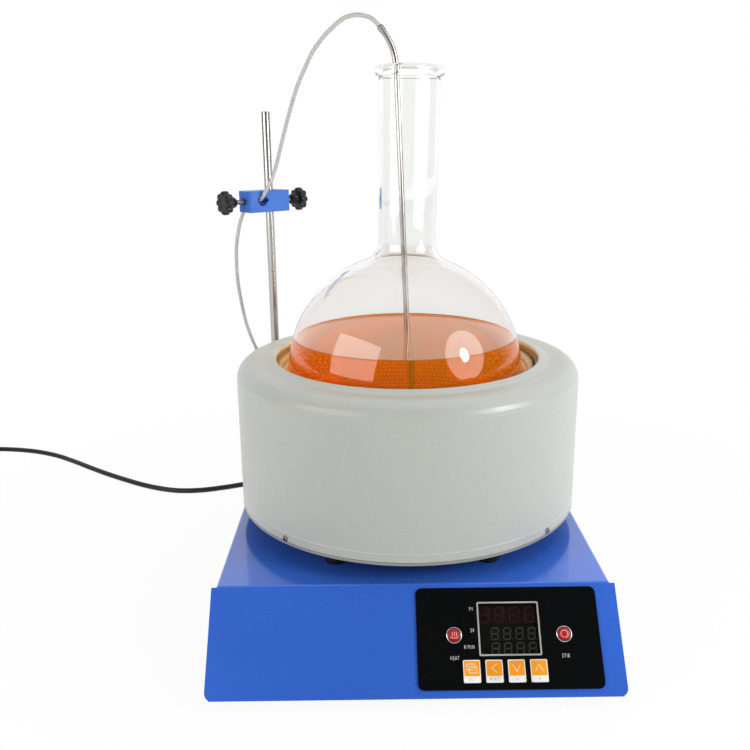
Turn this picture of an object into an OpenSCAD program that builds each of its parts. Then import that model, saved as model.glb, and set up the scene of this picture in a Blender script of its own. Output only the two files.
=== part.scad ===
// Heating mantle on a control base, with a magnetic stirrer, a stand and a
// temperature probe in a long-necked round flask.
// Origin: on the bench, under the axis of the mantle. +Z is up and the sloped
// control panel faces -Y. All sizes are in millimetres.

/* [Base] */
// Width of the base's top plate
base_w = 326.5; // [316:0.5:340]
// Sideways offset of the base from the mantle's axis
base_x = -1.3; // [-4:0.1:4]
// Depth of the flat top plate, from the front fold to the rear face
top_d = 333.7; // [328:0.1:345]
// Distance from the mantle's axis to the rear face
rear_y = 175; // [168:1:182]
// Height of the top plate above the bench
base_h = 78.2; // [77.5:0.1:86]
// How far the sloped front panel runs forward
panel_run = 58; // [56:0.5:64]
// How far the front panel stands out past the top plate on each side
panel_flare = 3.7; // [1.5:0.1:6]
// Radius of the front panel's lower corners
panel_corner_r = 6.5; // [3:0.5:10]
// Thickness of the steel sheet
sheet_t = 1.2; // [1:0.1:1.5]
// Outside radius of the sheet's folds
fold_r = 2.6; // [2:0.1:4]
// Height of the tray's upturned edge
tray_edge_h = 15; // [12:1:18]
// Number of vent slots in each of the tray's rows
vent_count = 9; // [5:1:12]
// Height of a base foot
foot_h = 10; // [8:0.5:12]
// Diameter of a base foot
foot_d = 24; // [20:1:28]

/* [Control panel] */
// Width of the black overlay
overlay_w = 147.7; // [144:0.1:152]
// Height of the black overlay, measured down the slope
overlay_h = 79.5; // [78:0.1:81]
// Distance from the fold down to the overlay
overlay_top = 4; // [3:0.1:5]
// Distance of the overlay's left edge from the middle of the base
overlay_left = 1.6; // [-5:0.1:6]
// Radius of the overlay's corners
overlay_r = 5; // [2:0.5:8]
// Thickness of the overlay
overlay_t = 1.2; // [1:0.1:1.5]
// Width of the display frame
display_w = 50.2; // [49:0.1:52]
// Height of the display frame
display_h = 42.2; // [41:0.1:43]
// Width of the display frame's rim
display_rim = 1.2; // [1:0.1:1.8]
// How deep the digits lie under the panel's face
digit_depth = 2.5; // [2:0.1:3]
// Width of a key
key_w = 13.6; // [12:0.1:15]
// Height of a key, measured down the slope
key_h = 17.2; // [15:0.1:17.6]
// Distance between neighbouring keys' centres
key_pitch = 17.8; // [16.6:0.1:18]
// How far a key stands out of the overlay
key_proud = 0.6; // [0.4:0.1:1.2]
// How far a key travels
key_travel = 0.8; // [0.5:0.1:1]
// Outside diameter of a round button's bezel
bezel_d = 13; // [12.4:0.1:15]
// Diameter of a round button's cap
button_d = 10; // [9:0.1:10.4]
// How far a round button travels
button_travel = 1; // [0.6:0.1:1.2]

/* [Mantle] */
// Width of the mantle's flat top and shoulder, from the mouth to the outside
ledge_w = 37.55; // [30:0.05:45]
// Height of the mantle's flat top above the middle of the flask's ball
ledge_z = 13.7; // [12.5:0.1:20]
// Gap between the top plate and the mantle
mantle_gap = 17.3; // [14:0.1:22]
// Thickness of the mantle's sheet
shell_t = 1.2; // [1:0.1:1.5]
// Radius of the mantle's shoulder
shoulder_r = 15; // [10:0.5:20]
// Gap between the flask's ball and the mantle's mouth
mouth_gap = 12.7; // [11:0.1:16]
// Height of the mouth's raised rim above the flat top
rim_rise = 2.6; // [1.6:0.1:4]
// Height of the bottom plate's visible lip
lip_h = 2.8; // [2.4:0.1:4]
// Thickness of the knitted bowl
bowl_t = 4; // [3.5:0.1:4.5]
// Diameter of the heating wire
heater_d = 2.2; // [1.6:0.1:2.4]
// Number of turns of the heating wire
heater_turns = 5; // [4:1:7]

/* [Flask] */
// Outside diameter of the flask's ball
flask_d = 223; // [220:0.5:225]
// Thickness of the glass
glass_t = 2.5; // [2:0.1:3]
// Sideways offset of the flask's ball and of the bowl that holds it
ball_x = -2; // [-2.5:0.1:2.5]
// How far the flask leans to the side, in degrees
flask_lean = 1.1; // [-1.5:0.1:1.5]
// Outside diameter of the neck at its foot
neck_d = 52.6; // [50:0.2:54]
// Outside diameter of the neck below its lip
neck_top_d = 55; // [54:0.2:56]
// Height of the flask
flask_h = 387.5; // [370:0.5:395]
// Outside diameter of the neck's lip
flask_lip_d = 61.8; // [60:0.2:64]
// Height of the neck's lip
flask_lip_h = 9; // [8:0.5:11]
// Height of the liquid's surface above the ball's middle
liquid_level = 33.2; // [10:0.1:40]

/* [Stand and probe] */
// Diameter of the rod
rod_d = 9; // [8:0.1:9.6]
// Height of the rod's top above the bench
rod_top = 464.3; // [450:0.1:480]
// Distance of the rod's axis from the side of the base
rod_side = 21.55; // [18:0.05:26]
// Distance of the rod's axis from the rear face
rod_rear = 25; // [22:0.5:30]
// Height of the boss head's middle above the bench
boss_z = 371.7; // [360:0.1:385]
// Height of the boss head
boss_h = 22.5; // [20:0.5:25]
// Depth of the boss head
boss_d = 23; // [21:0.5:25]
// Length of the boss head on the side of its open hole
boss_left = 32.3; // [30:0.1:36]
// Length of the boss head on the side of the rod's screw
boss_right = 19.8; // [17:0.1:24]
// How far the boss head is turned about the rod
boss_turn = 41; // [35:1:45]
// Diameter of the thumb screws
screw_d = 5; // [4:0.1:6]
// Diameter of the star knobs
knob_d = 24.8; // [20:0.1:26]
// Number of lobes on a star knob
knob_lobes = 8; // [6:1:10]
// Diameter of the probe's tube
probe_d = 5.5; // [4:0.1:6]

/* [Hidden] */
$fn = 96;

// Clearances: between pieces that move or are loose, between pieces of one
// body, and round a turning shaft.
gap = 0.3;
seat = 0.1;
running = 0.05;
eps = 0.01;
far = 1000;

// Base, worked out from its driving sizes
fold_y = rear_y - top_d;
tray_front_h = 4;
panel_rise = base_h - foot_h;
panel_tilt = atan2(panel_rise, panel_run);
panel_len = norm([panel_run, panel_rise]);
panel_w = base_w + 2 * panel_flare;
tray_z = foot_h;
tray_top = tray_z + sheet_t;
base_foot_x = base_w / 2 - 23;
base_foot_front_y = fold_y - panel_run / 2;
base_foot_rear_y = rear_y - 23;
foot_screw_r = 2;
screw_head_r = 4;
screw_head_h = 2.2;
side_screw_y = 120;
vent_l = 46;
vent_w = 4;
vent_pitch = 10;
vent_x = 62;

// Control panel: x is across the base and s is down the slope from the fold
board_t = 1.6;
board_n = -8.6;
board_top_n = board_n + board_t;
board_margin = 5.5;
board_top_s = overlay_top + 2.5;
board_clear = 0.9;
board_h = (base_h + board_n * cos(panel_tilt) - tray_top - board_clear)
          / sin(panel_tilt) - board_top_s;
display_inset = 49.7;
display_drop = 11.8;
display_x = overlay_left + display_inset;
display_s = overlay_top + display_drop;
digit_rows = [[45.4, 3.4, 12.6], [35.4, 19.8, 9.8], [35.4, 31.8, 8.6]];
digit_margin = 3;
digit_block_t = 1.5;
key_inset = 43;
key_drop = 65.6;
key_first_x = overlay_left + key_inset;
key_s = overlay_top + key_drop;
key_stem_r = 1.6;
switch_w = 6;
switch_top_n = -3.6;
key_foot_n = -1.5;
key_labels = ["key_set", "key_shift", "key_down", "key_up"];
heat_inset = 30.2;
stir_inset = 118.9;
button_drop = 37.8;
heat_x = overlay_left + heat_inset;
stir_x = overlay_left + stir_inset;
button_s = overlay_top + button_drop;
barrel_r = button_d / 2 + 1.1;
barrel_n = -6.6;
button_foot_n = -4.4;
slot_margin = 1.2;

// Mantle, flask and bowl: all are built round the ball's middle
mantle_z = base_h + mantle_gap;
bowl_r = flask_d / 2 + gap;
bowl_floor = 7.8;
ball_z = mantle_z + sheet_t + bowl_floor + bowl_t + bowl_r;
mantle_top = ball_z + ledge_z;
mouth_r = flask_d / 2 + mouth_gap;
mantle_r = mouth_r + ledge_w;
rim_r = 2.2;
rim_slope_w = 11;
mouth_flange_h = 8;
seam_gap = 0.4;
bottom_flange_h = 12;
mantle_screw_z = mantle_z + lip_h + 2.8;
mantle_screw_turn = 47.2;
mantle_foot_x = 67;
mantle_foot_y = 116;
sleeve_y = 112;
sleeve_r = 5;

cavity_r = bowl_r + bowl_t + heater_d + 3 * seat;
collar_t = 1.8;
collar_z = 4;
collar_h = 9;
bowl_lip_r = mouth_r - collar_t - 2 * gap;
bowl_lip_z = 9.5;
bowl_lip_t = 3;
neck_r = neck_d / 2;
neck_top_r = neck_top_d / 2;
mouth_bore_r = neck_top_r - glass_t;
neck_fillet = 18;
flask_rise = flask_h - flask_d / 2;
liquid_z = ball_z + liquid_level;

// Stirrer
motor_r = 25;
motor_top = tray_z + 38;
motor_h = 34;
motor_boss_r = 8;
motor_boss_h = 3;
shaft_r = 3;
shaft_grip = 10;
hub_r = 30;
hub_h = 8;
hub_top = base_h - sheet_t - 1.8;
magnet_r = 8;
magnet_h = 5;
magnet_x = 18;
bracket_t = 1.5;
bracket_w = 60;
bracket_span = 40;
bracket_foot = 14;

// Stand
rod_x = base_x - base_w / 2 + rod_side;
rod_y = rear_y - rod_rear;
socket_r = 12;
socket_neck_r = 8.5;
socket_h = 14;
socket_depth = 14;
socket_floor = 2;
socket_nut_h = 5;
rod_bottom = base_h - socket_depth + socket_floor + gap;
boss_edge_r = 3.2;
boss_chamfer = 1.2;
grip_r = 6.2;
grip_u = -16.1;
grip_rise = 1.3;
rod_hole_r = 6;
rod_hole_u = (rod_hole_r - seat) * sqrt(2) - (rod_d / 2 + seat) * sqrt(2);
screw_left_out = 9.6;
screw_right_out = 6.3;
knob_disc_h = 8.2;
knob_hub_h = 6.9;
knob_tip_h = 2.9;
knob_hub_r = 5.4;
knob_tip_r = 3.2;
knob_h = knob_disc_h + knob_hub_h + knob_tip_h;

// Probe: it leans in one upright plane and rests in the neck's mouth
probe_plane = 193;
probe_lean = 2.4;
probe_mouth_turn = 121.8;
probe_mouth_r = mouth_bore_r - probe_d / 2 - gap;
probe_mouth = [
    ball_x + flask_rise * sin(flask_lean) + probe_mouth_r * cos(probe_mouth_turn),
    probe_mouth_r * sin(probe_mouth_turn),
    ball_z + flask_rise * cos(flask_lean)
];
probe_dip = 346;
probe_above = 0.4;
bend_swell = 0.03;
probe_bend_r = 49;
probe_bend = 37;
probe_tail = 3;
ferrule_l = 6;
ferrule_r = probe_d / 2 + 0.35;

// Rear panel
socket_x = -118;
socket_z = foot_h + 35;
plug_r = 8.5;
plug_l = 38;
plug_taper_l = 10;
gland_x = -60;
gland_nut_r = 9.5;
gland_z = tray_z + tray_edge_h + gland_nut_r + 1.5;
gland_l = 40;

// Cords: round numbers chosen by hand, each a point [x, y, z]
lead_d = 4;
cord_d = 6.5;
cord_z = cord_d / 2;
coil_x = -612;
coil_y = 345;
coil_r = 36;
coil_h = 2 * cord_d;
plug_x = coil_x - coil_r;
mains_plug_y = 290;
mains_plug_r = 18;
pin_pitch = 19;
pin_r = 2.4;
pin_l = 19;
// One route for the whole sensor lead: the two nodes meet at lead_split.
lead_route = [
    [-23.1, 15.2, 530.7], [-29, 16, 536.5], [-35.5, 18, 539.4], [-43, 20.5, 540.7],
    [-50, 23.3, 540], [-57, 27, 537.6], [-68, 34.5, 530], [-76.5, 42, 522.5],
    [-84, 49.5, 514.5], [-89.5, 57, 506.5], [-94.5, 64.5, 498.5],
    [-99.5, 72, 490], [-104, 79.5, 481.5], [-108, 87, 472.5],
    [-112, 94.5, 463], [-115.5, 101, 454], [-119, 107, 444.5],
    [-122.5, 113, 435], [-126, 119, 425], [-129.3, 124, 415],
    [-133, 127, 404.5], [-137.6, 126.5, 393], [-143.8, 126, 382],
    [-148.3, 130.2, 375.5], [-154.3, 136.5, 372.7],
    [-160, 143, 372], [-165, 148.5, 370.5], [-169.5, 153, 366],
    [-173, 156.5, 358], [-177, 160, 349], [-180.5, 164, 338],
    [-184, 168, 322], [-185.5, 171, 305], [-186, 175, 281],
    [-184, 179, 257], [-181, 184, 233], [-176, 190, 211], [-169, 199, 187],
    [-161, 209, 162], [-152, 220, 137], [-143, 232, 112], [-135, 243, 88],
    [-128, 249, 68], [-122, 245, 54], [-119, 234, 47], [-118, 220, 45],
    [-118, 196, 45]
];
lead_split = 24;
cord_route = [
    [-60, 168, 36], [-60, 216, 36], [-61, 232, 34.5], [-64, 250, 28.5], [-72, 264, 18],
    [-86, 273, 9], [-106, 275, 4], [-132, 269, 3.3], [-162, 256, 3.3],
    [-186, 245, 3.3], [-203, 238, 3.3], [-225, 229, 3.3], [-251, 221, 3.3],
    [-275, 219, 3.3], [-297, 223, 3.3], [-325, 235, 3.3], [-353, 252, 3.3],
    [-393, 280, 3.3], [-425, 305, 3.3], [-456, 330, 3.3], [-488, 353, 3.3],
    [-525, 371, 3.3], [-566, 381, 3.3], [-612, 384.2, 3.3]
];
tail_route = [
    [-648, 345, 8], [-648, 338, 10], [-648, 330, 13], [-648, 322, 16],
    [-648, 316, 17.5], [-648, 311, 18], [-648, 296, 18]
];

// ---------------------------------------------------------------- outlines

// A corner of an outline, rounded to radius r: points on the arc that
// touches both of the corner's edges.
function corner(before, at, after, r, steps = 6) =
    let (
        u = (before - at) / norm(before - at),
        v = (after - at) / norm(after - at),
        half = acos(u * v) / 2,
        middle = at + (u + v) / norm(u + v) * r / sin(half),
        start = at + u * r / tan(half) - middle,
        stop = at + v * r / tan(half) - middle,
        a0 = atan2(start.y, start.x),
        turn = atan2(start.x * stop.y - start.y * stop.x, start * stop)
    )
    r < eps ? [at]
            : [for (i = [0:steps]) middle + r * [cos(a0 + turn * i / steps),
                                                sin(a0 + turn * i / steps)]];

// An outline with each corner rounded to its own radius.
function rounded(points, radii) =
    let (n = len(points))
    [for (i = [0:n - 1]) each corner(points[(i + n - 1) % n], points[i],
                                     points[(i + 1) % n], radii[i])];

module rounded_square(w, h, r) {
    polygon(rounded([[0, 0], [w, 0], [w, h], [0, h]], [r, r, r, r]));
}

// A round hole with a V on its +X side, which grips a rod. The V's walls stand
// a seat inside the circle, so that they cross it.
module v_hole(r) {
    circle(r);
    rotate(-45) square(r - seat);
}

// ------------------------------------------------------------------ sweeps

function unit(v) = v / norm(v);
function heading(p, i) =
    unit(p[min(i + 1, len(p) - 1)] - p[max(i - 1, 0)]);

// Side directions carried along a path without twisting.
function sides_of(p, i = 0, n = [1, 0, 0], done = []) =
    i == len(p) ? done
    : let (t = heading(p, i), flat = n - (n * t) * t,
           safe = norm(flat) < 0.1 ? cross(t, [0, 0, 1]) : flat,
           m = unit(safe))
      sides_of(p, i + 1, m, concat(done, [m]));

// A round tube of diameter d along a path, from ring a to ring b.
module swept_tube(p, d, facets = 8, first = [1, 0, 0], a = 0, b = -1) {
    stop = b < 0 ? len(p) - 1 : b;
    count = stop - a + 1;
    side = sides_of(p, 0, first);
    points = [for (i = [a:stop], k = [0:facets - 1])
        let (t = heading(p, i), turn = 360 * k / facets)
        p[i] + d / 2 * (side[i] * cos(turn) + cross(t, side[i]) * sin(turn))];
    walls = [for (i = [0:count - 2], k = [0:facets - 1])
        let (next = (k + 1) % facets)
        [i * facets + k, (i + 1) * facets + k,
         (i + 1) * facets + next, i * facets + next]];
    start = [for (k = [0:facets - 1]) k];
    end = [for (k = [0:facets - 1]) count * facets - 1 - k];
    polyhedron(points, concat([start], walls, [end]), convexity = 10);
}

// ------------------------------------------------------------------ places

// Local frame on the sloped panel: x across, y up the slope, z outwards.
module on_panel(x, s, n = 0) {
    translate([base_x, fold_y, base_h]) rotate([panel_tilt, 0, 0])
        translate([x, -s, n]) children();
}

// Local frame on the rear face: z points out of the base.
module on_rear(x, z) {
    translate([x, rear_y, z]) rotate([-90, 0, 0]) children();
}

// Local frame of the boss head: x along it, z up, on the rod's axis.
module on_boss() {
    translate([rod_x, rod_y, boss_z]) rotate([0, 0, boss_turn]) children();
}

// Local frame of a thumb screw: z runs from the block out to the knob.
module on_left_screw() {
    on_boss() translate([-boss_left, 0, 0]) rotate([0, -90, 0]) children();
}
module on_right_screw() {
    on_boss() translate([boss_right, 0, 0]) rotate([0, 90, 0]) children();
}

module at_corners(x, front_y, back_y) {
    for (sx = [-1, 1], y = [front_y, back_y])
        translate([base_x + sx * x, y, 0]) children();
}

// -------------------------------------------------------------------- base

// The base's side view as a solid body, with every face drawn in by inset.
module base_side(inset, z0, r) {
    front = [fold_y + inset * tan(panel_tilt / 2), base_h - inset];
    toe = [front.x - (front.y - z0) / tan(panel_tilt), z0];
    polygon(rounded(
        [toe, [rear_y - inset, z0], [rear_y - inset, base_h - inset], front],
        [0, 0, r, r]));
}

module base_body(inset, z0) {
    r = max(fold_r - inset, 0.6);
    half = base_w / 2 - inset;
    translate([base_x, 0, 0]) intersection() {
        rotate([90, 0, 90]) translate([0, 0, -half])
            linear_extrude(2 * half) base_side(inset, z0, r);
        rotate([90, 0, 0]) translate([0, 0, -far / 2]) linear_extrude(far)
            polygon(rounded(
                [[-half, z0], [half, z0],
                 [half, base_h - inset], [-half, base_h - inset]],
                [0, 0, r, r]));
    }
}

// The front panel stands out past the base on each side, below the fold.
module panel_sheet() {
    h = panel_len - fold_r * tan(panel_tilt / 2);
    on_panel(-panel_w / 2, panel_len, -sheet_t) linear_extrude(sheet_t)
        polygon(rounded([[0, 0], [panel_w, 0], [panel_w, h], [0, h]],
                        [panel_corner_r, panel_corner_r, 0.8, 0.8]));
}

// Everything that is cut through the panel's sheet, behind the overlay.
module panel_cuts() {
    on_panel(display_x + display_rim / 2, display_s + display_h - display_rim / 2,
             -2 * sheet_t)
        cube([display_w - display_rim, display_h - display_rim, 4 * sheet_t]);
    on_panel(key_first_x - key_w / 2 - slot_margin,
             key_s + key_h / 2 + slot_margin, -2 * sheet_t)
        cube([3 * key_pitch + key_w + 2 * slot_margin,
              key_h + 2 * slot_margin, 4 * sheet_t]);
    for (x = [heat_x, stir_x])
        on_panel(x, button_s, -2 * sheet_t) cylinder(r = barrel_r + seat,
                                                     h = 4 * sheet_t);
}

module side_screw_places() {
    for (sx = [-1, 1], sy = [-1, 1])
        translate([base_x + sx * base_w / 2, sy * side_screw_y,
                   tray_z + tray_edge_h / 2])
            rotate([0, sx * 90, 0]) children();
}

module base_cover() {
    color("royalblue") difference() {
        union() {
            base_body(0, tray_z);
            panel_sheet();
        }
        base_body(sheet_t, tray_z - 5);
        panel_cuts();
        translate([rod_x, rod_y, base_h - 5]) cylinder(r = socket_neck_r + seat,
                                                       h = 10);
        translate([0, sleeve_y, base_h - 5]) cylinder(r = sleeve_r + 2.5 + seat,
                                                      h = 10);
        on_rear(socket_x, socket_z) translate([0, 0, -5])
            cylinder(r = plug_r - 0.5 + seat, h = 10);
        on_rear(gland_x, gland_z) translate([0, 0, -5])
            cylinder(r = 6 + seat, h = 10);
        side_screw_places() translate([0, 0, -5])
            cylinder(r = foot_screw_r + seat, h = 10);
    }
}

module base_tray() {
    wall = sheet_t + gap;
    color("royalblue") difference() {
        intersection() {
            base_body(wall, tray_z);
            translate([-far / 2, -far / 2, 0]) cube([far, far,
                                                     tray_z + tray_edge_h]);
        }
        difference() {
            base_body(wall + sheet_t, tray_z - 5);
            translate([-far / 2, -far / 2, 0]) cube([far, far, tray_top]);
        }
        translate([base_x - base_w / 2 + wall + sheet_t, -far,
                   tray_z + tray_front_h])
            cube([base_w - 2 * (wall + sheet_t), far, far]);
        at_corners(base_foot_x, base_foot_front_y, base_foot_rear_y)
            translate([0, 0, tray_z - 1])
                cylinder(r = foot_screw_r + seat, h = 4);
        for (sx = [-1, 1], i = [0:vent_count - 1])
            translate([base_x + sx * vent_x - vent_l / 2,
                       rear_y - 40 - i * vent_pitch,
                       tray_z - 1])
                linear_extrude(4) rounded_square(vent_l, vent_w,
                                                 vent_w / 2 - eps);
        side_screw_places() translate([0, 0, -8])
            cylinder(r = foot_screw_r + seat, h = 9);
    }
}

module base_foot(x, y) {
    color("black") translate([base_x + x, y, 0]) difference() {
        cylinder(r1 = foot_d / 2 - 1.5, r2 = foot_d / 2, h = foot_h);
        translate([0, 0, -1]) cylinder(r = screw_head_r + 1, h = 1 + foot_h / 2);
        cylinder(r = foot_screw_r + seat, h = far);
    }
}
module base_foot_front_left() { base_foot(-base_foot_x, base_foot_front_y); }
module base_foot_front_right() { base_foot(base_foot_x, base_foot_front_y); }
module base_foot_rear_left() { base_foot(-base_foot_x, base_foot_rear_y); }
module base_foot_rear_right() { base_foot(base_foot_x, base_foot_rear_y); }

// A pan-head screw whose head's seat is at z = 0 and whose shank goes down.
module pan_screw(shank_r, shank_l, head_r, head_h) {
    translate([0, 0, -shank_l]) cylinder(r = shank_r, h = shank_l);
    difference() {
        intersection() {
            cylinder(r = head_r, h = head_h);
            translate([0, 0, head_h - 2 * head_r]) sphere(r = 2 * head_r);
        }
        for (turn = [0, 90]) rotate([0, 0, turn])
            translate([-head_r * 0.6, -0.4, head_h - 0.8])
                cube([head_r * 1.2, 0.8, 2]);
    }
}

module base_screws() {
    color("silver") {
        at_corners(base_foot_x, base_foot_front_y, base_foot_rear_y)
            translate([0, 0, foot_h / 2]) mirror([0, 0, 1])
                pan_screw(foot_screw_r, foot_h / 2 + 5, screw_head_r,
                          screw_head_h);
        side_screw_places()
            pan_screw(foot_screw_r, 6, screw_head_r, screw_head_h);
    }
}

// ----------------------------------------------------------- control panel

module key_places() {
    for (i = [0:3]) on_panel(key_first_x + i * key_pitch, key_s) children();
}

module panel_overlay() {
    color("black") difference() {
        on_panel(overlay_left, overlay_top + overlay_h) linear_extrude(overlay_t)
            rounded_square(overlay_w, overlay_h, overlay_r);
        on_panel(display_x - seat, display_s + display_h + seat, -1)
            cube([display_w + 2 * seat, display_h + 2 * seat, 4]);
        key_places() translate([-key_w / 2 - gap, -key_h / 2 - gap, -1])
            cube([key_w + 2 * gap, key_h + 2 * gap, 4]);
        for (x = [heat_x, stir_x])
            on_panel(x, button_s, -1) cylinder(r = barrel_r + seat, h = 4);
    }
}

module display_frame() {
    color("gainsboro") on_panel(display_x, display_s + display_h)
        linear_extrude(overlay_t + 0.6) difference() {
            rounded_square(display_w, display_h, 1.5);
            translate([display_rim, display_rim])
                rounded_square(display_w - 2 * display_rim,
                               display_h - 2 * display_rim, 0.8);
        }
}

module display_window() {
    rim = display_rim + seat;
    color("dimgray", 0.5) on_panel(display_x + rim, display_s + display_h - rim, 0)
        linear_extrude(overlay_t) rounded_square(display_w - 2 * rim,
                                                 display_h - 2 * rim, 0.8);
}

// Three rows of four digit blocks on one carrier. Each row has its width, its
// distance below the frame's top and its height.
module display_module() {
    carrier_n = -digit_depth - digit_block_t;
    color("darkslategray") {
        on_panel(display_x + gap, display_s + display_h, board_top_n)
            cube([display_w - 2 * gap, display_h, carrier_n - board_top_n]);
        for (row = digit_rows, i = [0:3])
            on_panel(display_x + display_w - digit_margin
                     - row[0] + i * row[0] / 4,
                     display_s + row[1] + row[2], carrier_n)
                cube([row[0] / 4 - seat, row[2], digit_block_t]);
    }
}

module standoff_places() {
    inset = board_margin + 5;
    for (x = [inset, overlay_w - inset], s = [3.5, board_h - 3.5])
        on_panel(overlay_left + x, board_top_s + s) children();
}

module control_board() {
    color("darkgreen") difference() {
        on_panel(overlay_left + board_margin, board_top_s + board_h, board_n)
            cube([overlay_w - 2 * board_margin, board_h, board_t]);
        standoff_places() translate([0, 0, board_n - 1]) cylinder(r = 1.5, h = 4);
    }
}

module board_standoffs() {
    color("goldenrod") standoff_places() translate([0, 0, board_top_n])
        cylinder(r = 2.6, h = -sheet_t - board_top_n, $fn = 6);
}

module switch_block(w, top_n, well_r, well_depth) {
    difference() {
        translate([-w / 2, -w / 2, board_top_n]) cube([w, w, top_n - board_top_n]);
        translate([0, 0, top_n - well_depth]) cylinder(r = well_r, h = far);
    }
}

module key_switches() {
    color("darkslategray")
        key_places() switch_block(switch_w, switch_top_n, key_stem_r + gap, 2.6);
}

module key_cap(i) {
    on_panel(key_first_x + i * key_pitch, key_s) {
        difference() {
            translate([-key_w / 2, -key_h / 2, key_foot_n])
                linear_extrude(overlay_t + key_proud - key_foot_n)
                    rounded_square(key_w, key_h, 1);
            translate([-key_w / 2 + 1.2, -key_h / 2 + 1.2, key_foot_n - 1])
                cube([key_w - 2.4, key_h - 2.4, 2]);
        }
        translate([0, 0, switch_top_n - 1])
            cylinder(r = key_stem_r, h = key_foot_n + 1 - switch_top_n + 1 + eps);
    }
}
module key_set() { color("orange") key_cap(0); }
module key_shift() { color("orange") key_cap(1); }
module key_down() { color("orange") key_cap(2); }
module key_up() { color("orange") key_cap(3); }

// Bezel of a round button: a flange on the overlay and a barrel behind it.
module button_bezel(x) {
    bore_r = button_d / 2 + gap;
    color("silver") on_panel(x, button_s) difference() {
        union() {
            translate([0, 0, overlay_t]) rotate_extrude()
                polygon(rounded(
                    [[0, 0], [bezel_d / 2, 0], [bezel_d / 2, 1.5], [0, 1.5]],
                    [0, 0, 1, 0]));
            translate([0, 0, barrel_n]) cylinder(r = barrel_r,
                                                 h = overlay_t - barrel_n + 0.5);
        }
        translate([0, 0, barrel_n + 0.8]) cylinder(r = bore_r, h = far);
    }
}
module heat_bezel() { button_bezel(heat_x); }
module stir_bezel() { button_bezel(stir_x); }

// Button cap: a skirt with a domed top.
module button_cap(x) {
    r = button_d / 2;
    top_n = overlay_t + 1.8;
    dome = 3 * r;
    color("firebrick") on_panel(x, button_s) intersection() {
        translate([0, 0, button_foot_n]) cylinder(r = r,
                                                  h = top_n - button_foot_n);
        translate([0, 0, top_n - dome]) sphere(r = dome);
    }
}
module heat_button() { button_cap(heat_x); }
module stir_button() { button_cap(stir_x); }

// ----------------------------------------------------------------- stirrer

module stir_motor() {
    color("dimgray") difference() {
        union() {
            translate([0, 0, motor_top - motor_h]) cylinder(r = motor_r,
                                                            h = motor_h);
            translate([0, 0, motor_top]) cylinder(r = motor_boss_r,
                                                  h = motor_boss_h);
            translate([0, 0, motor_top - motor_h - 2]) cylinder(r = 6, h = 3);
        }
        translate([0, 0, motor_top + motor_boss_h - shaft_grip])
            cylinder(r = shaft_r + running, h = far);
        for (turn = [0:60:300]) rotate([0, 0, turn])
            translate([motor_r - 1, -3, motor_top - motor_h + 5])
                cube([2, 6, 12]);
    }
}

module motor_bracket() {
    color("silver") difference() {
        union() {
            translate([-bracket_span, -bracket_w / 2, motor_top])
                cube([2 * bracket_span, bracket_w, bracket_t]);
            for (sx = [-1, 1]) translate([sx * bracket_span, 0, 0])
                mirror([sx < 0 ? 1 : 0, 0, 0]) {
                    translate([-bracket_t, -bracket_w / 2, tray_top])
                        cube([bracket_t, bracket_w,
                              motor_top + bracket_t - tray_top]);
                    translate([-bracket_t, -bracket_w / 2, tray_top])
                        cube([bracket_foot, bracket_w, bracket_t]);
                }
        }
        translate([0, 0, motor_top - 1]) cylinder(r = motor_boss_r + seat, h = 4);
        for (sx = [-1, 1], sy = [-1, 1])
            translate([sx * (bracket_span + 7), sy * 20, tray_z])
                cylinder(r = 2.2, h = 5);
    }
}

module motor_shaft() {
    bottom = motor_top + motor_boss_h - shaft_grip + gap;
    color("silver") translate([0, 0, bottom]) cylinder(r = shaft_r,
                                                       h = hub_top - 2 - bottom);
}

module magnet_places() {
    for (sx = [-1, 1]) translate([sx * magnet_x, 0, hub_top - magnet_h])
        children();
}

module magnet_hub() {
    color("gray") difference() {
        union() {
            translate([0, 0, hub_top - hub_h]) cylinder(r = hub_r, h = hub_h);
            translate([0, 0, hub_top - hub_h - 5]) cylinder(r = 8, h = 6);
        }
        translate([0, 0, hub_top - far]) cylinder(r = shaft_r, h = far - 2);
        magnet_places() cylinder(r = magnet_r, h = magnet_h + 1);
    }
}

module drive_magnets() {
    color("silver") magnet_places() cylinder(r = magnet_r, h = magnet_h);
}

// ------------------------------------------------------------------ mantle

// Half section of the drum, drawn in by inset: flat top, round shoulder and
// the slope that rises to the mouth's rim.
module drum_half(inset, bottom) {
    r = mantle_r - inset;
    top = mantle_top - inset;
    polygon(concat(
        [[0, bottom]],
        rounded([[r - 2 * shoulder_r, bottom], [r, bottom], [r, top],
                 [mouth_r + rim_slope_w, top]],
                [0, 0, shoulder_r - inset, 0]),
        [[mouth_r + rim_r, top + rim_rise], [0, top + rim_rise]]));
}

module mantle_shell() {
    bottom = mantle_z + lip_h + seam_gap;
    color("gainsboro") difference() {
        rotate_extrude($fn = 180) {
            difference() {
                drum_half(0, bottom);
                drum_half(shell_t, bottom - 1);
                square([mouth_r + rim_r, far]);
            }
            translate([mouth_r, mantle_top - mouth_flange_h])
                square([shell_t, mouth_flange_h + rim_rise - rim_r]);
            intersection() {
                translate([mouth_r + rim_r, mantle_top + rim_rise - rim_r])
                    difference() {
                        circle(rim_r, $fn = 32);
                        circle(rim_r - shell_t, $fn = 32);
                    }
                translate([mouth_r, mantle_top + rim_rise - rim_r])
                    square([rim_r + eps, rim_r]);
            }
        }
        mantle_screw_places() translate([0, 0, -5])
            cylinder(r = 1.5 + seat, h = 10, $fn = 32);
    }
}

module mantle_screw_places() {
    for (k = [0:3]) rotate([0, 0, mantle_screw_turn + 90 * k])
        translate([mantle_r, 0, mantle_screw_z]) rotate([0, 90, 0]) children();
}

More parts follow.
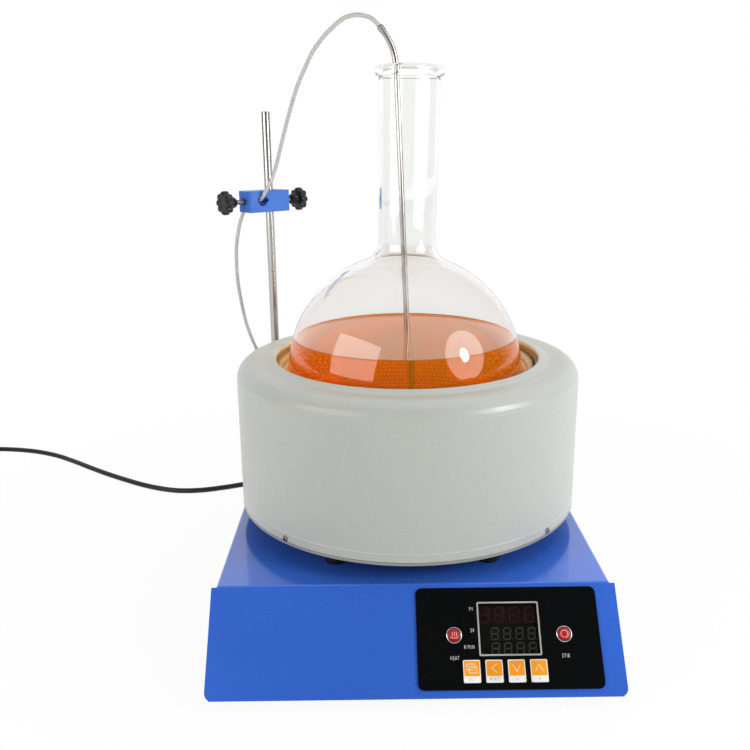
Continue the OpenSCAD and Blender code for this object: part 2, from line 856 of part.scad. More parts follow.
module mantle_bottom() {
    flange_r = mantle_r - shell_t - gap;
    color("gainsboro") difference() {
        union() {
            translate([0, 0, mantle_z]) rotate_extrude($fn = 180)
                polygon(rounded([[0, 0], [mantle_r, 0], [mantle_r, lip_h],
                                 [mantle_r - shell_t, lip_h],
                                 [mantle_r - shell_t, sheet_t], [0, sheet_t]],
                                [0, 0.8, 0.4, 0, 0, 0]));
            translate([0, 0, mantle_z]) rotate_extrude($fn = 180)
                translate([flange_r - shell_t, 0])
                    square([shell_t, bottom_flange_h]);
        }
        mantle_screw_places() translate([0, 0, -8])
            cylinder(r = 1.5 + seat, h = 12, $fn = 32);
        translate([0, sleeve_y, mantle_z - 1]) cylinder(r = sleeve_r + seat, h = 4);
    }
}

module mantle_screws() {
    color("silver") mantle_screw_places()
        pan_screw(1.5, 2 * shell_t + gap, 2.7, 1.6, $fn = 32);
}

module mantle_foot(sx, sy) {
    color("black") translate([sx * mantle_foot_x, sy * mantle_foot_y, base_h])
        rotate_extrude() difference() {
            polygon(rounded([[0, 0], [9, 0], [12.5, mantle_gap], [0, mantle_gap]],
                            [0, 1.5, 0, 0]));
            square([2.1, far]);
        }
}
module mantle_foot_front_left() { mantle_foot(-1, -1); }
module mantle_foot_front_right() { mantle_foot(1, -1); }
module mantle_foot_rear_left() { mantle_foot(-1, 1); }
module mantle_foot_rear_right() { mantle_foot(1, 1); }

// The bowl hugs the flask's ball. Its sewn lip stays centred in the mouth.
module heating_bowl() {
    lip_in = bowl_r + abs(ball_x);
    lip_base = max(bowl_r + bowl_t, lip_in + 1);
    color("tan") {
        translate([ball_x, 0, ball_z]) rotate_extrude($fn = 144) difference() {
            circle(bowl_r + bowl_t, $fn = 144);
            circle(bowl_r, $fn = 144);
            translate([-far, -far]) square([far, 2 * far]);
            translate([-far, 0]) square([2 * far, far]);
        }
        translate([0, 0, ball_z]) rotate_extrude($fn = 144)
            polygon([[lip_in, -0.5], [lip_base, -0.5],
                     [bowl_lip_r, bowl_lip_z - bowl_lip_t],
                     [bowl_lip_r, bowl_lip_z]]);
    }
}

module bowl_collar() {
    color("saddlebrown") translate([0, 0, ball_z + collar_z])
        rotate_extrude($fn = 144)
            polygon(rounded([[mouth_r - gap - collar_t, 0], [mouth_r - gap, 0],
                             [mouth_r - gap, collar_h],
                             [mouth_r - gap - collar_t, collar_h]],
                            [0, 0, 0.8, 0.8]));
}

module bowl_insulation() {
    top = min(mantle_top - 12, ball_z + collar_z - gap);
    lip_room = max(bowl_r + bowl_t, bowl_r + abs(ball_x) + 1) + gap;
    color("beige") difference() {
        rotate_extrude($fn = 144) difference() {
            intersection() {
                drum_half(2 * shell_t + 2 * gap, mantle_z + sheet_t + gap);
                square([mantle_r, top]);
            }
            translate([0, ball_z - 1]) square([lip_room, far]);
            polygon([[0, ball_z - 1], [lip_room, ball_z - 1],
                     [bowl_lip_r + 2 * gap, ball_z + bowl_lip_z - bowl_lip_t],
                     [0, ball_z + bowl_lip_z]]);
        }
        translate([ball_x, 0, ball_z]) sphere(r = cavity_r, $fn = 144);
        translate([0, sleeve_y, mantle_z]) cylinder(r = sleeve_r + seat, h = 8);
    }
}

// Heating wire: rings laid round the outside of the bowl.
module heater_wire() {
    low = 24;
    high = 82;
    r = bowl_r + bowl_t + seat + heater_d / 2;
    color("silver") translate([ball_x, 0, ball_z]) for (i = [0:heater_turns - 1]) {
        polar = low + (high - low) * i / (heater_turns - 1);
        rotate_extrude($fn = 144)
            translate([r * sin(polar), -r * cos(polar)])
                circle(heater_d / 2, $fn = 24);
    }
}

module wire_sleeve() {
    bottom = base_h - 14;
    color("white") translate([0, sleeve_y, bottom]) difference() {
        cylinder(r = sleeve_r, h = mantle_z + 5 - bottom);
        translate([0, 0, -1]) cylinder(r = sleeve_r - 1.2, h = far);
    }
}

module sleeve_bush() {
    r = sleeve_r + 2.5;
    color("black") translate([0, sleeve_y, base_h]) rotate_extrude()
        translate([sleeve_r + seat, 0]) {
            translate([0, -sheet_t - 2]) square([r - sleeve_r - seat,
                                                 sheet_t + 4]);
            translate([0, seat]) square([4.5, 2]);
            translate([0, -sheet_t - 2 - seat]) square([4.5, 2]);
        }
}

// ------------------------------------------------------------------- flask

// Local frame of the flask: the origin is the ball's middle and z runs up
// the neck.
module on_flask() {
    translate([ball_x, 0, ball_z]) rotate([0, flask_lean, 0]) children();
}

// Half section of the flask as a solid body, drawn in by inset: a ball, a
// fillet and a neck that widens a little towards the mouth.
module flask_half(inset, top) {
    r = flask_d / 2 - inset;
    n = neck_r - inset;
    f = neck_fillet + inset;
    middle = [n + f, sqrt(pow(r + f, 2) - pow(n + f, 2))];
    touch = middle * r / (r + f);
    difference() {
        union() {
            circle(r, $fn = 180);
            polygon([[0, 0], [n, 0], [n, middle.y],
                     [neck_top_r - inset, flask_rise], [neck_top_r - inset, top],
                     [0, top]]);
            polygon([[0, 0], touch, middle, [n, middle.y], [0, middle.y]]);
        }
        translate(middle) circle(f, $fn = 72);
        translate([-far, -far]) square([far, 2 * far]);
    }
}

module flask() {
    top = flask_rise;
    lip_r = flask_lip_d / 2;
    color("aliceblue", 0.35) on_flask()
        rotate_extrude($fn = 144) difference() {
            union() {
                flask_half(0, top);
                polygon(rounded(
                    [[0, top - flask_lip_h],
                     [neck_top_r - 1, top - flask_lip_h - 1.5],
                     [lip_r, top - flask_lip_h], [lip_r, top], [0, top]],
                    [0, 0, 3.6, 3.6, 0]));
            }
            flask_half(glass_t, top + 1);
        }
}

module liquid() {
    color("darkorange", 0.7) difference() {
        intersection() {
            translate([ball_x, 0, ball_z])
                sphere(r = flask_d / 2 - glass_t - seat, $fn = 144);
            translate([-far / 2, -far / 2, 0]) cube([far, far, liquid_z]);
        }
        probe_straight(seat);
    }
}

// ------------------------------------------------------------------- probe

// Local frame of the probe: x is the way it leans, z is up along it, and the
// origin is where it passes the flask's mouth.
module on_probe() {
    translate(probe_mouth) rotate([0, 0, probe_plane]) rotate([0, probe_lean, 0])
        children();
}

module probe_straight(extra) {
    r = probe_d / 2 + extra;
    top = probe_dip + 2 * probe_above;
    on_probe() translate([0, 0, -probe_dip]) rotate_extrude()
        polygon(rounded([[0, -r], [r, -r], [r, top], [0, top]],
                        [0, 0.9 * r, 0, 0]));
}

// Local frame at the end of the probe's bend.
module on_probe_end() {
    on_probe() translate([probe_bend_r, 0, probe_above])
        rotate([0, probe_bend, 0]) translate([-probe_bend_r, 0, 0]) children();
}

// The tube is straight, then bent above the mouth. The bend swells by a hair,
// as a drawn bend does, and the straight ends run a little way into it.
module probe_tube() {
    color("silver") {
        probe_straight(0);
        on_probe() translate([probe_bend_r, 0, probe_above]) rotate([90, 0, 0])
            rotate([0, 0, 180 - probe_bend])
                rotate_extrude(angle = probe_bend)
                    translate([probe_bend_r, 0])
                        circle(probe_d / 2 + bend_swell);
        on_probe_end() translate([0, 0, -probe_above])
            cylinder(r = probe_d / 2, h = probe_tail + probe_above);
    }
}

// Crimp over the end of the tube, with a rounded nose for the lead.
module probe_ferrule() {
    color("silver") on_probe_end() difference() {
        rotate_extrude() polygon(rounded(
            [[0, 0.5], [ferrule_r, 0.5], [ferrule_r, 0.5 + ferrule_l],
             [0, 0.5 + ferrule_l]], [0, 0.15, 0.6, 0]));
        cylinder(r = probe_d / 2, h = probe_tail);
    }
}

// ------------------------------------------------------------------- stand

module rod_socket() {
    color("silver") translate([rod_x, rod_y, base_h]) {
        difference() {
            rotate_extrude() polygon(rounded(
                [[0, -socket_depth], [socket_neck_r, -socket_depth],
                 [socket_neck_r, 0], [socket_r, 0], [socket_r, 4],
                 [socket_neck_r, 5], [socket_neck_r, socket_h], [0, socket_h]],
                [0, 0.5, 0, 0, 0.8, 0, 0.8, 0]));
            translate([0, 0, socket_floor - socket_depth])
                cylinder(r = rod_d / 2 + running, h = far);
        }
        translate([0, 0, -sheet_t - socket_nut_h - seat]) difference() {
            cylinder(r = 13, h = socket_nut_h, $fn = 6);
            translate([0, 0, -1]) cylinder(r = socket_neck_r + seat, h = 9);
        }
    }
}

module support_rod() {
    color("silver") translate([rod_x, rod_y, rod_bottom]) rotate_extrude()
        polygon(rounded([[0, 0], [rod_d / 2, 0],
                         [rod_d / 2, rod_top - rod_bottom],
                         [0, rod_top - rod_bottom]], [0, 0.4, 0.8, 0]));
}

module boss_head() {
    length = boss_left + boss_right;
    color("dodgerblue") on_boss() difference() {
        intersection() {
            translate([-boss_left, -boss_d / 2, -boss_h / 2])
                linear_extrude(boss_h)
                    rounded_square(length, boss_d, boss_edge_r);
            rotate([90, 0, 0]) translate([-boss_left, -boss_h / 2, -boss_d])
                linear_extrude(2 * boss_d)
                    rounded_square(length, boss_h, boss_chamfer);
            rotate([90, 0, 90]) translate([-boss_d / 2, -boss_h / 2, -length])
                linear_extrude(2 * length)
                    rounded_square(boss_d, boss_h, boss_chamfer);
        }
        translate([rod_hole_u, 0, -boss_h]) mirror([1, 0, 0])
            linear_extrude(2 * boss_h) v_hole(rod_hole_r);
        translate([grip_u, boss_d, grip_rise]) rotate([90, 0, 0])
            linear_extrude(2 * boss_d) v_hole(grip_r);
        translate([-boss_left - 1, 0, 0]) rotate([0, 90, 0])
            cylinder(r = screw_d / 2 + running, h = boss_left + 1 + grip_u);
        translate([rod_hole_u, 0, 0]) rotate([0, 90, 0])
            cylinder(r = screw_d / 2 + running, h = far);
        for (x = [-boss_left, boss_right]) translate([x, 0, 0])
            rotate([0, 90, 0]) translate([0, 0, -1])
                cylinder(r = screw_d / 2 + 1.5, h = 2);
    }
}

module clamp_screw(out, reach) {
    color("silver") translate([0, 0, -reach]) cylinder(
        r = screw_d / 2, h = reach + out + knob_h - 4);
}
module clamp_screw_left() {
    on_left_screw() clamp_screw(screw_left_out, boss_left + grip_u - grip_r - 1);
}
module clamp_screw_right() {
    on_right_screw() clamp_screw(screw_right_out, boss_right - rod_d / 2 - gap);
}

// Star knob: lobed grip, ribbed hub and a cone down to the screw.
module star_knob(out) {
    lobe_r = knob_d * 0.14;
    color("black") translate([0, 0, out]) difference() {
        union() {
            cylinder(r1 = knob_tip_r, r2 = knob_hub_r, h = knob_tip_h);
            translate([0, 0, knob_tip_h]) linear_extrude(knob_hub_h + eps) {
                circle(knob_hub_r);
                for (k = [1:knob_lobes]) rotate(360 * k / knob_lobes)
                    translate([knob_hub_r, 0]) circle(0.9, $fn = 16);
            }
            translate([0, 0, knob_tip_h + knob_hub_h])
                linear_extrude(knob_disc_h) {
                    circle(knob_d / 2 - lobe_r * 0.9);
                    for (k = [1:knob_lobes]) rotate(360 * k / knob_lobes)
                        translate([knob_d / 2 - lobe_r, 0])
                            circle(lobe_r, $fn = 32);
                }
        }
        translate([0, 0, -1]) cylinder(r = screw_d / 2, h = knob_h - 3);
    }
}
module clamp_knob_left() { on_left_screw() star_knob(screw_left_out); }
module clamp_knob_right() { on_right_screw() star_knob(screw_right_out); }

// -------------------------------------------------------------- rear fittings

module sensor_socket() {
    color("silver") on_rear(socket_x, socket_z) difference() {
        union() {
            cylinder(r = plug_r + 2.5, h = 3, $fn = 6);
            translate([0, 0, -12]) cylinder(r = plug_r - 0.5, h = 15 + 3);
            translate([0, 0, -sheet_t - 3]) cylinder(r = plug_r + 2, h = 3,
                                                     $fn = 6);
        }
        translate([0, 0, 3]) cylinder(r = plug_r - 2, h = far);
    }
}

module sensor_plug() {
    color("silver") on_rear(socket_x, socket_z) translate([0, 0, 3 + seat])
        difference() {
            rotate_extrude() polygon(rounded(
                [[0, 0], [plug_r + 1, 0], [plug_r + 1, 12], [plug_r - 1, 13],
                 [plug_r - 1, plug_l - plug_taper_l],
                 [lead_d / 2 + 1.2, plug_l], [0, plug_l]],
                [0, 0.6, 0.6, 0, 2, 0.4, 0]));
            translate([0, 0, -1]) cylinder(r = plug_r - 0.5 + seat, h = 4.5);
            translate([0, 0, plug_l - 22]) cylinder(r = lead_d / 2 + seat,
                                                    h = far);
        }
}

module cord_gland() {
    color("black") on_rear(gland_x, gland_z) difference() {
        union() {
            cylinder(r = 10, h = 4, $fn = 6);
            translate([0, 0, -10]) cylinder(r = 6, h = 14);
            translate([0, 0, -sheet_t - 4]) cylinder(r = gland_nut_r, h = 4,
                                                     $fn = 6);
            translate([0, 0, 4]) cylinder(r1 = 8.5, r2 = 7, h = 9);
            translate([0, 0, 12]) cylinder(r1 = 6.5, r2 = cord_d / 2 + 1,
                                           h = gland_l - 12);
        }
        translate([0, 0, -11]) cylinder(r = cord_d / 2 + seat, h = far);
    }
}

// ------------------------------------------------------------------- cords

module sensor_lead_upper() {
    color("lightgray") swept_tube(lead_route, lead_d, b = lead_split);
}
module sensor_lead_lower() {
    color("lightgray") swept_tube(lead_route, lead_d, a = lead_split);
}

module power_cord() {
    color("black") {
        swept_tube(cord_route, cord_d, 8, [0, 0, 1]);
        swept_tube(tail_route, cord_d, 8, [1, 0, 0]);
    }
}

module power_cord_coil() {
    color("black") translate([coil_x, coil_y, 0]) rotate_extrude()
        translate([coil_r - coil_h / 2, 0]) square(coil_h);
}

// Moulded plug with two round pins, lying on its side.
module mains_plug() {
    color("black") translate([plug_x, mains_plug_y, mains_plug_r])
        rotate([90, 0, 0]) difference() {
            union() {
                rotate_extrude() polygon(rounded(
                    [[0, -20], [cord_d / 2 + 1.5, -20], [7, 4],
                     [mains_plug_r, 12], [mains_plug_r, 36], [0, 36]],
                    [0, 0.5, 4, 4, 1.5, 0]));
                for (sx = [-1, 1]) translate([sx * pin_pitch / 2, 0, 36 - eps])
                    rotate_extrude() polygon(rounded(
                        [[0, 0], [pin_r, 0], [pin_r, pin_l], [0, pin_l]],
                        [0, 0, 1.2, 0]));
            }
            translate([0, 0, -21]) cylinder(r = cord_d / 2 + seat, h = 16);
            for (sx = [-1, 1]) translate([sx * mains_plug_r - 3, -4, 14])
                cube([6, 8, far]);
        }
}

base_cover();
base_tray();
base_foot_front_left();
base_foot_front_right();
base_foot_rear_left();
base_foot_rear_right();
base_screws();
panel_overlay();
display_frame();
display_window();
display_module();
control_board();
board_standoffs();
key_switches();
heat_bezel();
stir_bezel();
heat_button();
stir_button();
key_set();
key_shift();
key_down();
key_up();
stir_motor();
motor_bracket();
motor_shaft();
magnet_hub();
drive_magnets();
mantle_shell();
mantle_bottom();
mantle_screws();
mantle_foot_front_left();
mantle_foot_front_right();
mantle_foot_rear_left();
mantle_foot_rear_right();
heating_bowl();
bowl_collar();
bowl_insulation();
heater_wire();
wire_sleeve();
sleeve_bush();
rod_socket();
support_rod();
boss_head();
clamp_screw_left();
clamp_screw_right();
clamp_knob_left();
clamp_knob_right();
probe_tube();
probe_ferrule();
sensor_lead_upper();
sensor_lead_lower();
sensor_plug();
sensor_socket();
cord_gland();
power_cord();
power_cord_coil();
mains_plug();
flask();
liquid();
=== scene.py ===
"""Heating mantle on a control base: finishes, cords, glass and stage.

The CAD model comes in as a fixed frame. Each operator dresses one piece of
it, or makes a piece that stands for a CAD node. Sizes in the code are in
millimetres, in the CAD model's frame: the origin lies on the bench under the
mantle's axis, the sloped panel faces -Y and Z is up.
"""

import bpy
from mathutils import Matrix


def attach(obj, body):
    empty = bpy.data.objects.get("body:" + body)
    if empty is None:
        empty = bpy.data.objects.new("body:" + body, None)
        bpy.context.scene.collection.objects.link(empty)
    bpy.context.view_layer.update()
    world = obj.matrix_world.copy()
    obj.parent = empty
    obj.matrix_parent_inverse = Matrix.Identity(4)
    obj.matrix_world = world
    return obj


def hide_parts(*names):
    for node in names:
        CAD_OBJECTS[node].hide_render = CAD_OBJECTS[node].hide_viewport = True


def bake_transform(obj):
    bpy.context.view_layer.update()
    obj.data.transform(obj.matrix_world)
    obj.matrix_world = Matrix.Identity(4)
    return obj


bl_info = {
    "name": "Heating mantle", "version": (1, 0, 0), "blender": (4, 5, 0),
    "location": "3D View > Sidebar > Mantle",
    "description": "Finishes, cords, flask and stage for a heating mantle", "category": "Object"}

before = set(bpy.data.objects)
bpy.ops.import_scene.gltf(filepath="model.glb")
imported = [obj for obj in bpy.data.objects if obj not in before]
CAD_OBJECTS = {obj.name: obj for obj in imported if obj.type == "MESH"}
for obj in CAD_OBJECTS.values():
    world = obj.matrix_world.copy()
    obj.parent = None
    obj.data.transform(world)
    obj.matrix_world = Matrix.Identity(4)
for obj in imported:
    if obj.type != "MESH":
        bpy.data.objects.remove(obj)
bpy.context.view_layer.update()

import math

import bmesh
import bpy
import numpy as np
from bpy.props import FloatProperty, FloatVectorProperty, IntProperty
from bpy.props import PointerProperty
from mathutils import Matrix, Vector

MM = 0.001

# Camera: its spot, and its pitch down, yaw right and roll in degrees
CAMERA_AT = (-32.57, -786.22, 430.03)
CAMERA_TURN = (15.339, 0.16, -0.636)
SENSOR = 36
FOCAL_LENGTH = 842.87 / 750 * SENSOR

# Base
BASE_X = -1.3
BASE_H = 78.2
REAR_Y = 175
FOLD_Y = REAR_Y - 333.7
PANEL_RISE = 68.2
PANEL_RUN = 58
PANEL_TILT = math.degrees(math.atan2(PANEL_RISE, PANEL_RUN))

# Control panel: x across from the middle of the base, s down the slope.
# Print is PRINT_T thick and reaches SUNK into what carries it.
OVERLAY_T = 1.2
KEY_FACE = 1.8
DISPLAY_X = 51.3
DISPLAY_S = 15.8
DIGITS_LOW, DIGITS_HIGH = -2.5, -2.42
KEY_S = 69.6
KEY_XS = (44.6, 62.4, 80.2, 98.0)
KEY_LINE = 0.42
PRINT_T = 0.06
SUNK = 0.02
FIELD_T = 0.05
FIELD_HALF = 6.1
BUTTON_S = 41.8
HEAT_X = 31.8
STIR_X = 120.5
CAP_TOP = OVERLAY_T + 1.8

# Flask, bowl and liquid
BALL = (-2.0, 0.0, 220.3)
BALL_R = 111.5
GLASS_T = 2.5
FLASK_LEAN = 1.1
FLASK_RISE = 276.0
NECK_R = 26.3
NECK_TOP_R = 27.5
LIP_R = 30.9
LIP_H = 9.0
NECK_FILLET = 18.0
LIQUID_LEVEL = 33.2
MOUTH_R = 124.2
CLOTH_T = 4.0
CLOTH_ROWS = 150
SEAM_Z = 105.8

# Stand
ROD_X, ROD_Y = -143, 150
BOSS = (ROD_X, ROD_Y, 371.7)
BOSS_LEFT, BOSS_RIGHT = 32.3, 19.8
BOSS_TURN = 41
KNOB_R = 12.4
KNOB_LOBE = 2.6

# Probe: where it leaves the straight, which way it bends, and how much
PROBE_MOUTH = (-8.3, 18.65, 496.25)
PROBE_TURN, PROBE_LEAN = 193, 2.4
PROBE_R = 2.75
PROBE_DEPTH = 346
BEND_R, BEND = 49, 37

# Cords
LEAD_D = 4.0
CORD_D = 6.5
LEAD_ROUTE = [
    (-23.1, 15.2, 530.7), (-29, 16, 536.5), (-35.5, 18, 539.4),
    (-43, 20.5, 540.7), (-50, 23.3, 540), (-57, 27, 537.6), (-68, 34.5, 530), (-76.5, 42, 522.5),
    (-84, 49.5, 514.5), (-89.5, 57, 506.5), (-94.5, 64.5, 498.5),
    (-99.5, 72, 490), (-104, 79.5, 481.5), (-108, 87, 472.5),
    (-112, 94.5, 463), (-115.5, 101, 454), (-119, 107, 444.5),
    (-122.5, 113, 435), (-126, 119, 425), (-129.3, 124, 415),
    (-133, 127, 404.5), (-137.6, 126.5, 393), (-143.8, 126, 382),
    (-148.3, 130.2, 375.5), (-154.3, 136.5, 372.7),
    (-160, 143, 372), (-165, 148.5, 370.5), (-169.5, 153, 366),
    (-173, 156.5, 358), (-177, 160, 349), (-180.5, 164, 338),
    (-184, 168, 322), (-185.5, 171, 305), (-186, 175, 281),
    (-184, 179, 257), (-181, 184, 233), (-176, 190, 211), (-169, 199, 187),
    (-161, 209, 162), (-152, 220, 137), (-143, 232, 112), (-135, 243, 88),
    (-128, 249, 68), (-122, 245, 54), (-119, 234, 47), (-118, 220, 45), (-118, 196, 45)]
# Stations where one length of the lead hands over to the next, with the
# bodies that it bends between.
LEAD_LENGTHS = [
    ("sensor_lead_arch", 0, 13, "stand", "rod", "sensor_lead_upper"),
    ("sensor_lead_to_clamp", 13, 24, "rod", "boss", "sensor_lead_upper"),
    ("sensor_lead_from_clamp", 24, 38, "boss", "rod", "sensor_lead_lower"),
    ("sensor_lead_to_plug", 38, 46, "rod", "stand", "sensor_lead_lower")]
CORD_ROUTE = [
    (-60, 215, 36), (-60, 222, 35.6), (-61, 232, 34.5), (-64, 250, 28.5),
    (-72, 264, 18), (-86, 273, 9), (-106, 275, 4), (-132, 269, 3.3),
    (-162, 256, 3.3), (-186, 245, 3.3), (-203, 238, 3.3), (-225, 229, 3.3),
    (-251, 221, 3.3), (-275, 219, 3.3), (-297, 223, 3.3), (-325, 235, 3.3),
    (-353, 252, 3.3), (-393, 280, 3.3), (-425, 305, 3.3), (-456, 330, 3.3),
    (-488, 353, 3.3), (-525, 371, 3.3), (-566, 381, 3.3)]
CORD_REST = 3.3
COIL = (-612.0, 345.0)
COIL_OUT, COIL_IN = 39.2, 26.2
COIL_TURNS, COIL_LAYER, COIL_CLIMB = 4.25, 2, 0.17
TAIL_ROUTE = [
    (-651.2, 337, 10.4), (-650.4, 330, 12.6), (-649.2, 322, 15.6),
    (-648.3, 316, 17.4), (-648, 311, 18), (-648, 302, 18), (-648, 296, 18)]

# ------------------------------------------------------------------ colours


def srgb(red, green, blue):
    """Linear colour of a display colour given from 0 to 255."""
    return tuple(
        (c / 255 / 12.92) if c <= 10 else ((c / 255 + 0.055) / 1.055) ** 2.4
        for c in (red, green, blue))


def shade(colour, share):
    """A colour made darker, or lighter up to white."""
    return tuple(min(1.0, c * share) for c in colour)


def colour(name, description, default):
    """Colour setting."""
    return FloatVectorProperty(name=name, description=description, default=default,
                               subtype="COLOR", min=0, max=1)


class MantlePaint(bpy.types.PropertyGroup):
    """Paints of the base, the mantle and the clamp."""

    base: colour("Base paint", "Gloss enamel of the base", srgb(54, 104, 208))
    drum: colour("Mantle paint", "Light grey paint of the mantle", srgb(187, 190, 184))
    clamp: colour("Clamp paint", "Satin paint of the boss head", srgb(58, 122, 224))
    peel: FloatProperty(
        name="Orange peel", description="Pitch of the paint's fine texture",
        default=0.0012, unit="LENGTH", min=0.0004, max=0.01)


class MantlePrint(bpy.types.PropertyGroup):
    """Print and plastics of the control panel."""

    key: colour("Key print", "Colour of the keys' upper field", srgb(255, 158, 22))
    button: colour("Buttons", "Colour of the round buttons", srgb(176, 28, 26))
    letter: FloatProperty(
        name="Label height", description="Height of the panel's capitals",
        default=0.003, unit="LENGTH", min=0.002, max=0.006)


class MantleFilling(bpy.types.PropertyGroup):
    """Glass, liquid and cloth."""

    glass: colour("Glass tint", "Tint of the flask's glass", (0.93, 0.938, 0.93))
    liquid: colour("Liquid", "Colour that the liquid lets through", (1.0, 0.84, 0.0))
    density: FloatProperty(
        name="Liquid density", description="How fast the liquid takes up light",
        default=30.0, min=0, max=80)
    cloth: colour("Glass-fibre cloth", "Colour of the knitted bowl", srgb(232, 222, 202))
    stitches: IntProperty(
        name="Stitches", description="Stitches round the knitted bowl",
        default=288, min=60, max=360)


class MantleStage(bpy.types.PropertyGroup):
    """Lamps and surroundings."""

    window: FloatProperty(
        name="Left softbox", description="Radiance of the softbox", default=3.2, min=0, max=20)
    umbrella: FloatProperty(
        name="Right umbrella", description="Radiance of the umbrella", default=3.2, min=0, max=20)
    fill: FloatProperty(
        name="Fill", description="Strength of the light from all round", default=0.46, min=0,
        max=2)


# ------------------------------------------------------------------ finishes


class Value:
    """A shader socket in an expression, to which + - * / and ** add Math
    nodes from either side."""

    def __init__(self, finish, socket):
        self.finish = finish
        self.socket = socket


def operator(operation, swapped=False):
    """Method that puts a Math node between a Value and the other side."""
    def apply(self, other):
        first, second = (other, self) if swapped else (self, other)
        return self.finish.node("ShaderNodeMath", {0: first, 1: second}, {"operation": operation})
    return apply


for word, operation in (("add", "ADD"), ("sub", "SUBTRACT"),
                        ("mul", "MULTIPLY"), ("truediv", "DIVIDE"), ("pow", "POWER")):
    setattr(Value, f"__{word}__", operator(operation))
    setattr(Value, f"__r{word}__", operator(operation, swapped=True))


class Finish:
    """A node material in the making."""

    def __init__(self, name, kind="material"):
        if kind == "world":
            self.data = bpy.data.worlds.new(name)
        else:
            self.data = bpy.data.materials.new(name)
        self.data.use_nodes = True
        self.tree = self.data.node_tree
        self.tree.nodes.clear()
        self.end = self.tree.nodes.new(
            "ShaderNodeOutputWorld" if kind == "world" else "ShaderNodeOutputMaterial")

    def node(self, kind, inputs=None, settings=None, output=0):
        """Adds a node with its settings and its sockets' values or links."""
        node = self.tree.nodes.new(kind)
        for key, value in (settings or {}).items():
            setattr(node, key, value)
        for key, value in (inputs or {}).items():
            self.feed(node.inputs[key], value)
        return Value(self, node.outputs[output])

    def feed(self, socket, value):
        """Links a Value to a socket, or sets a number or colour on it."""
        if isinstance(value, Value):
            self.tree.links.new(value.socket, socket)
        elif socket.type == "RGBA" and len(value) == 3:
            socket.default_value = (*value, 1)
        else:
            socket.default_value = value

    def place(self, scale):
        """Object coordinates, scaled."""
        spot = self.node("ShaderNodeTexCoord", output="Object")
        return self.node("ShaderNodeMapping", {"Vector": spot, "Scale": scale},
                         {"vector_type": "POINT"})

    def axes(self, kind="Object"):
        """Three values: object coordinates in metres, the piece's own UV
        map, or the direction looked in."""
        spot = self.node("ShaderNodeTexCoord", output=kind)
        node = self.node("ShaderNodeSeparateXYZ", {0: spot}).socket.node
        return [Value(self, out) for out in node.outputs]

    def rays(self, *kinds):
        """For each kind of ray, a value that is 1 for those rays."""
        node = self.node("ShaderNodeLightPath").socket.node
        return [Value(self, node.outputs[f"Is {kind} Ray"]) for kind in kinds]

    def noise(self, scale, detail=2.0, stretch=(1, 1, 1), rough=0.5):
        """Noise of that many bumps a metre, from 0 to 1."""
        return self.node("ShaderNodeTexNoise", {
            "Vector": self.place(stretch), "Scale": scale, "Detail": detail, "Roughness": rough})

    def between(self, value, low, high, start=0.0, stop=1.0):
        """Value carried smoothly from low..high to start..stop."""
        return self.node(
            "ShaderNodeMapRange", {0: value, 1: low, 2: high, 3: start, 4: stop},
            {"interpolation_type": "SMOOTHSTEP"})

    def mix(self, share, first, second):
        """Colour between two colours."""
        return self.node(
            "ShaderNodeMix", {0: share, 6: first, 7: second}, {"data_type": "RGBA"}, output=2)

    def bump(self, height, depth, strength=1.0, under=None):
        """Bump whose full height stands for that depth in metres."""
        inputs = {"Height": height, "Distance": depth, "Strength": strength}
        if under is not None:
            inputs["Normal"] = under
        return self.node("ShaderNodeBump", inputs)

    def maths(self, operation, value):
        """A value's SINE, in radians, or its ABSOLUTE size."""
        return self.node("ShaderNodeMath", {0: value}, {"operation": operation})

    def layer(self, share, first, second):
        """Mix of two shaders."""
        return self.node("ShaderNodeMixShader", {0: share, 1: first, 2: second})

    def close(self, shader, socket="Surface"):
        """Links the last shader to the output."""
        self.tree.links.new(shader.socket, self.end.inputs[socket])
        return self.data

    def surface(self, lamps=None, **inputs):
        """Ends the material in a Principled shader with these sockets. Given
        a colour for lamps, it lets their light straight through in it."""
        special = {"ior": "IOR", "specular_level": "Specular IOR Level"}
        shader = self.node("ShaderNodeBsdfPrincipled", {
            special.get(key, key.replace("_", " ").title()): value
            for key, value in inputs.items()})
        if lamps is not None:
            rays, = self.rays("Shadow")
            clear = self.node("ShaderNodeBsdfTransparent", {"Color": lamps})
            shader = self.layer(rays, shader, clear)
        return self.close(shader)


def tinted(finish, colour, spread, scale, detail=3.0):
    """A colour that wanders a little lighter and darker over the surface."""
    noise = finish.noise(scale, detail)
    return finish.mix(finish.between(noise, 0.3, 0.7),
                      shade(colour, 1 - spread), shade(colour, 1 + spread))


def gloss_enamel(colour):
    """Deep gloss enamel on sheet steel, with a faint orange peel and dust."""
    f = Finish("gloss_enamel")
    peel = f.noise(260, 1.0)
    sag = f.noise(9, 0.0)
    relief = f.bump(sag, 0.0006, 0.35, f.bump(peel, 0.00002, 0.5))
    specks = f.between(f.noise(900, 0.0), 0.72, 0.8)
    rough = 0.1 + specks * 0.25 + f.noise(14, 3.0) * 0.06
    return f.surface(
        base_color=tinted(f, colour, 0.05, 7), roughness=rough,
        coat_weight=0.7, coat_roughness=0.03, ior=1.5, normal=relief)


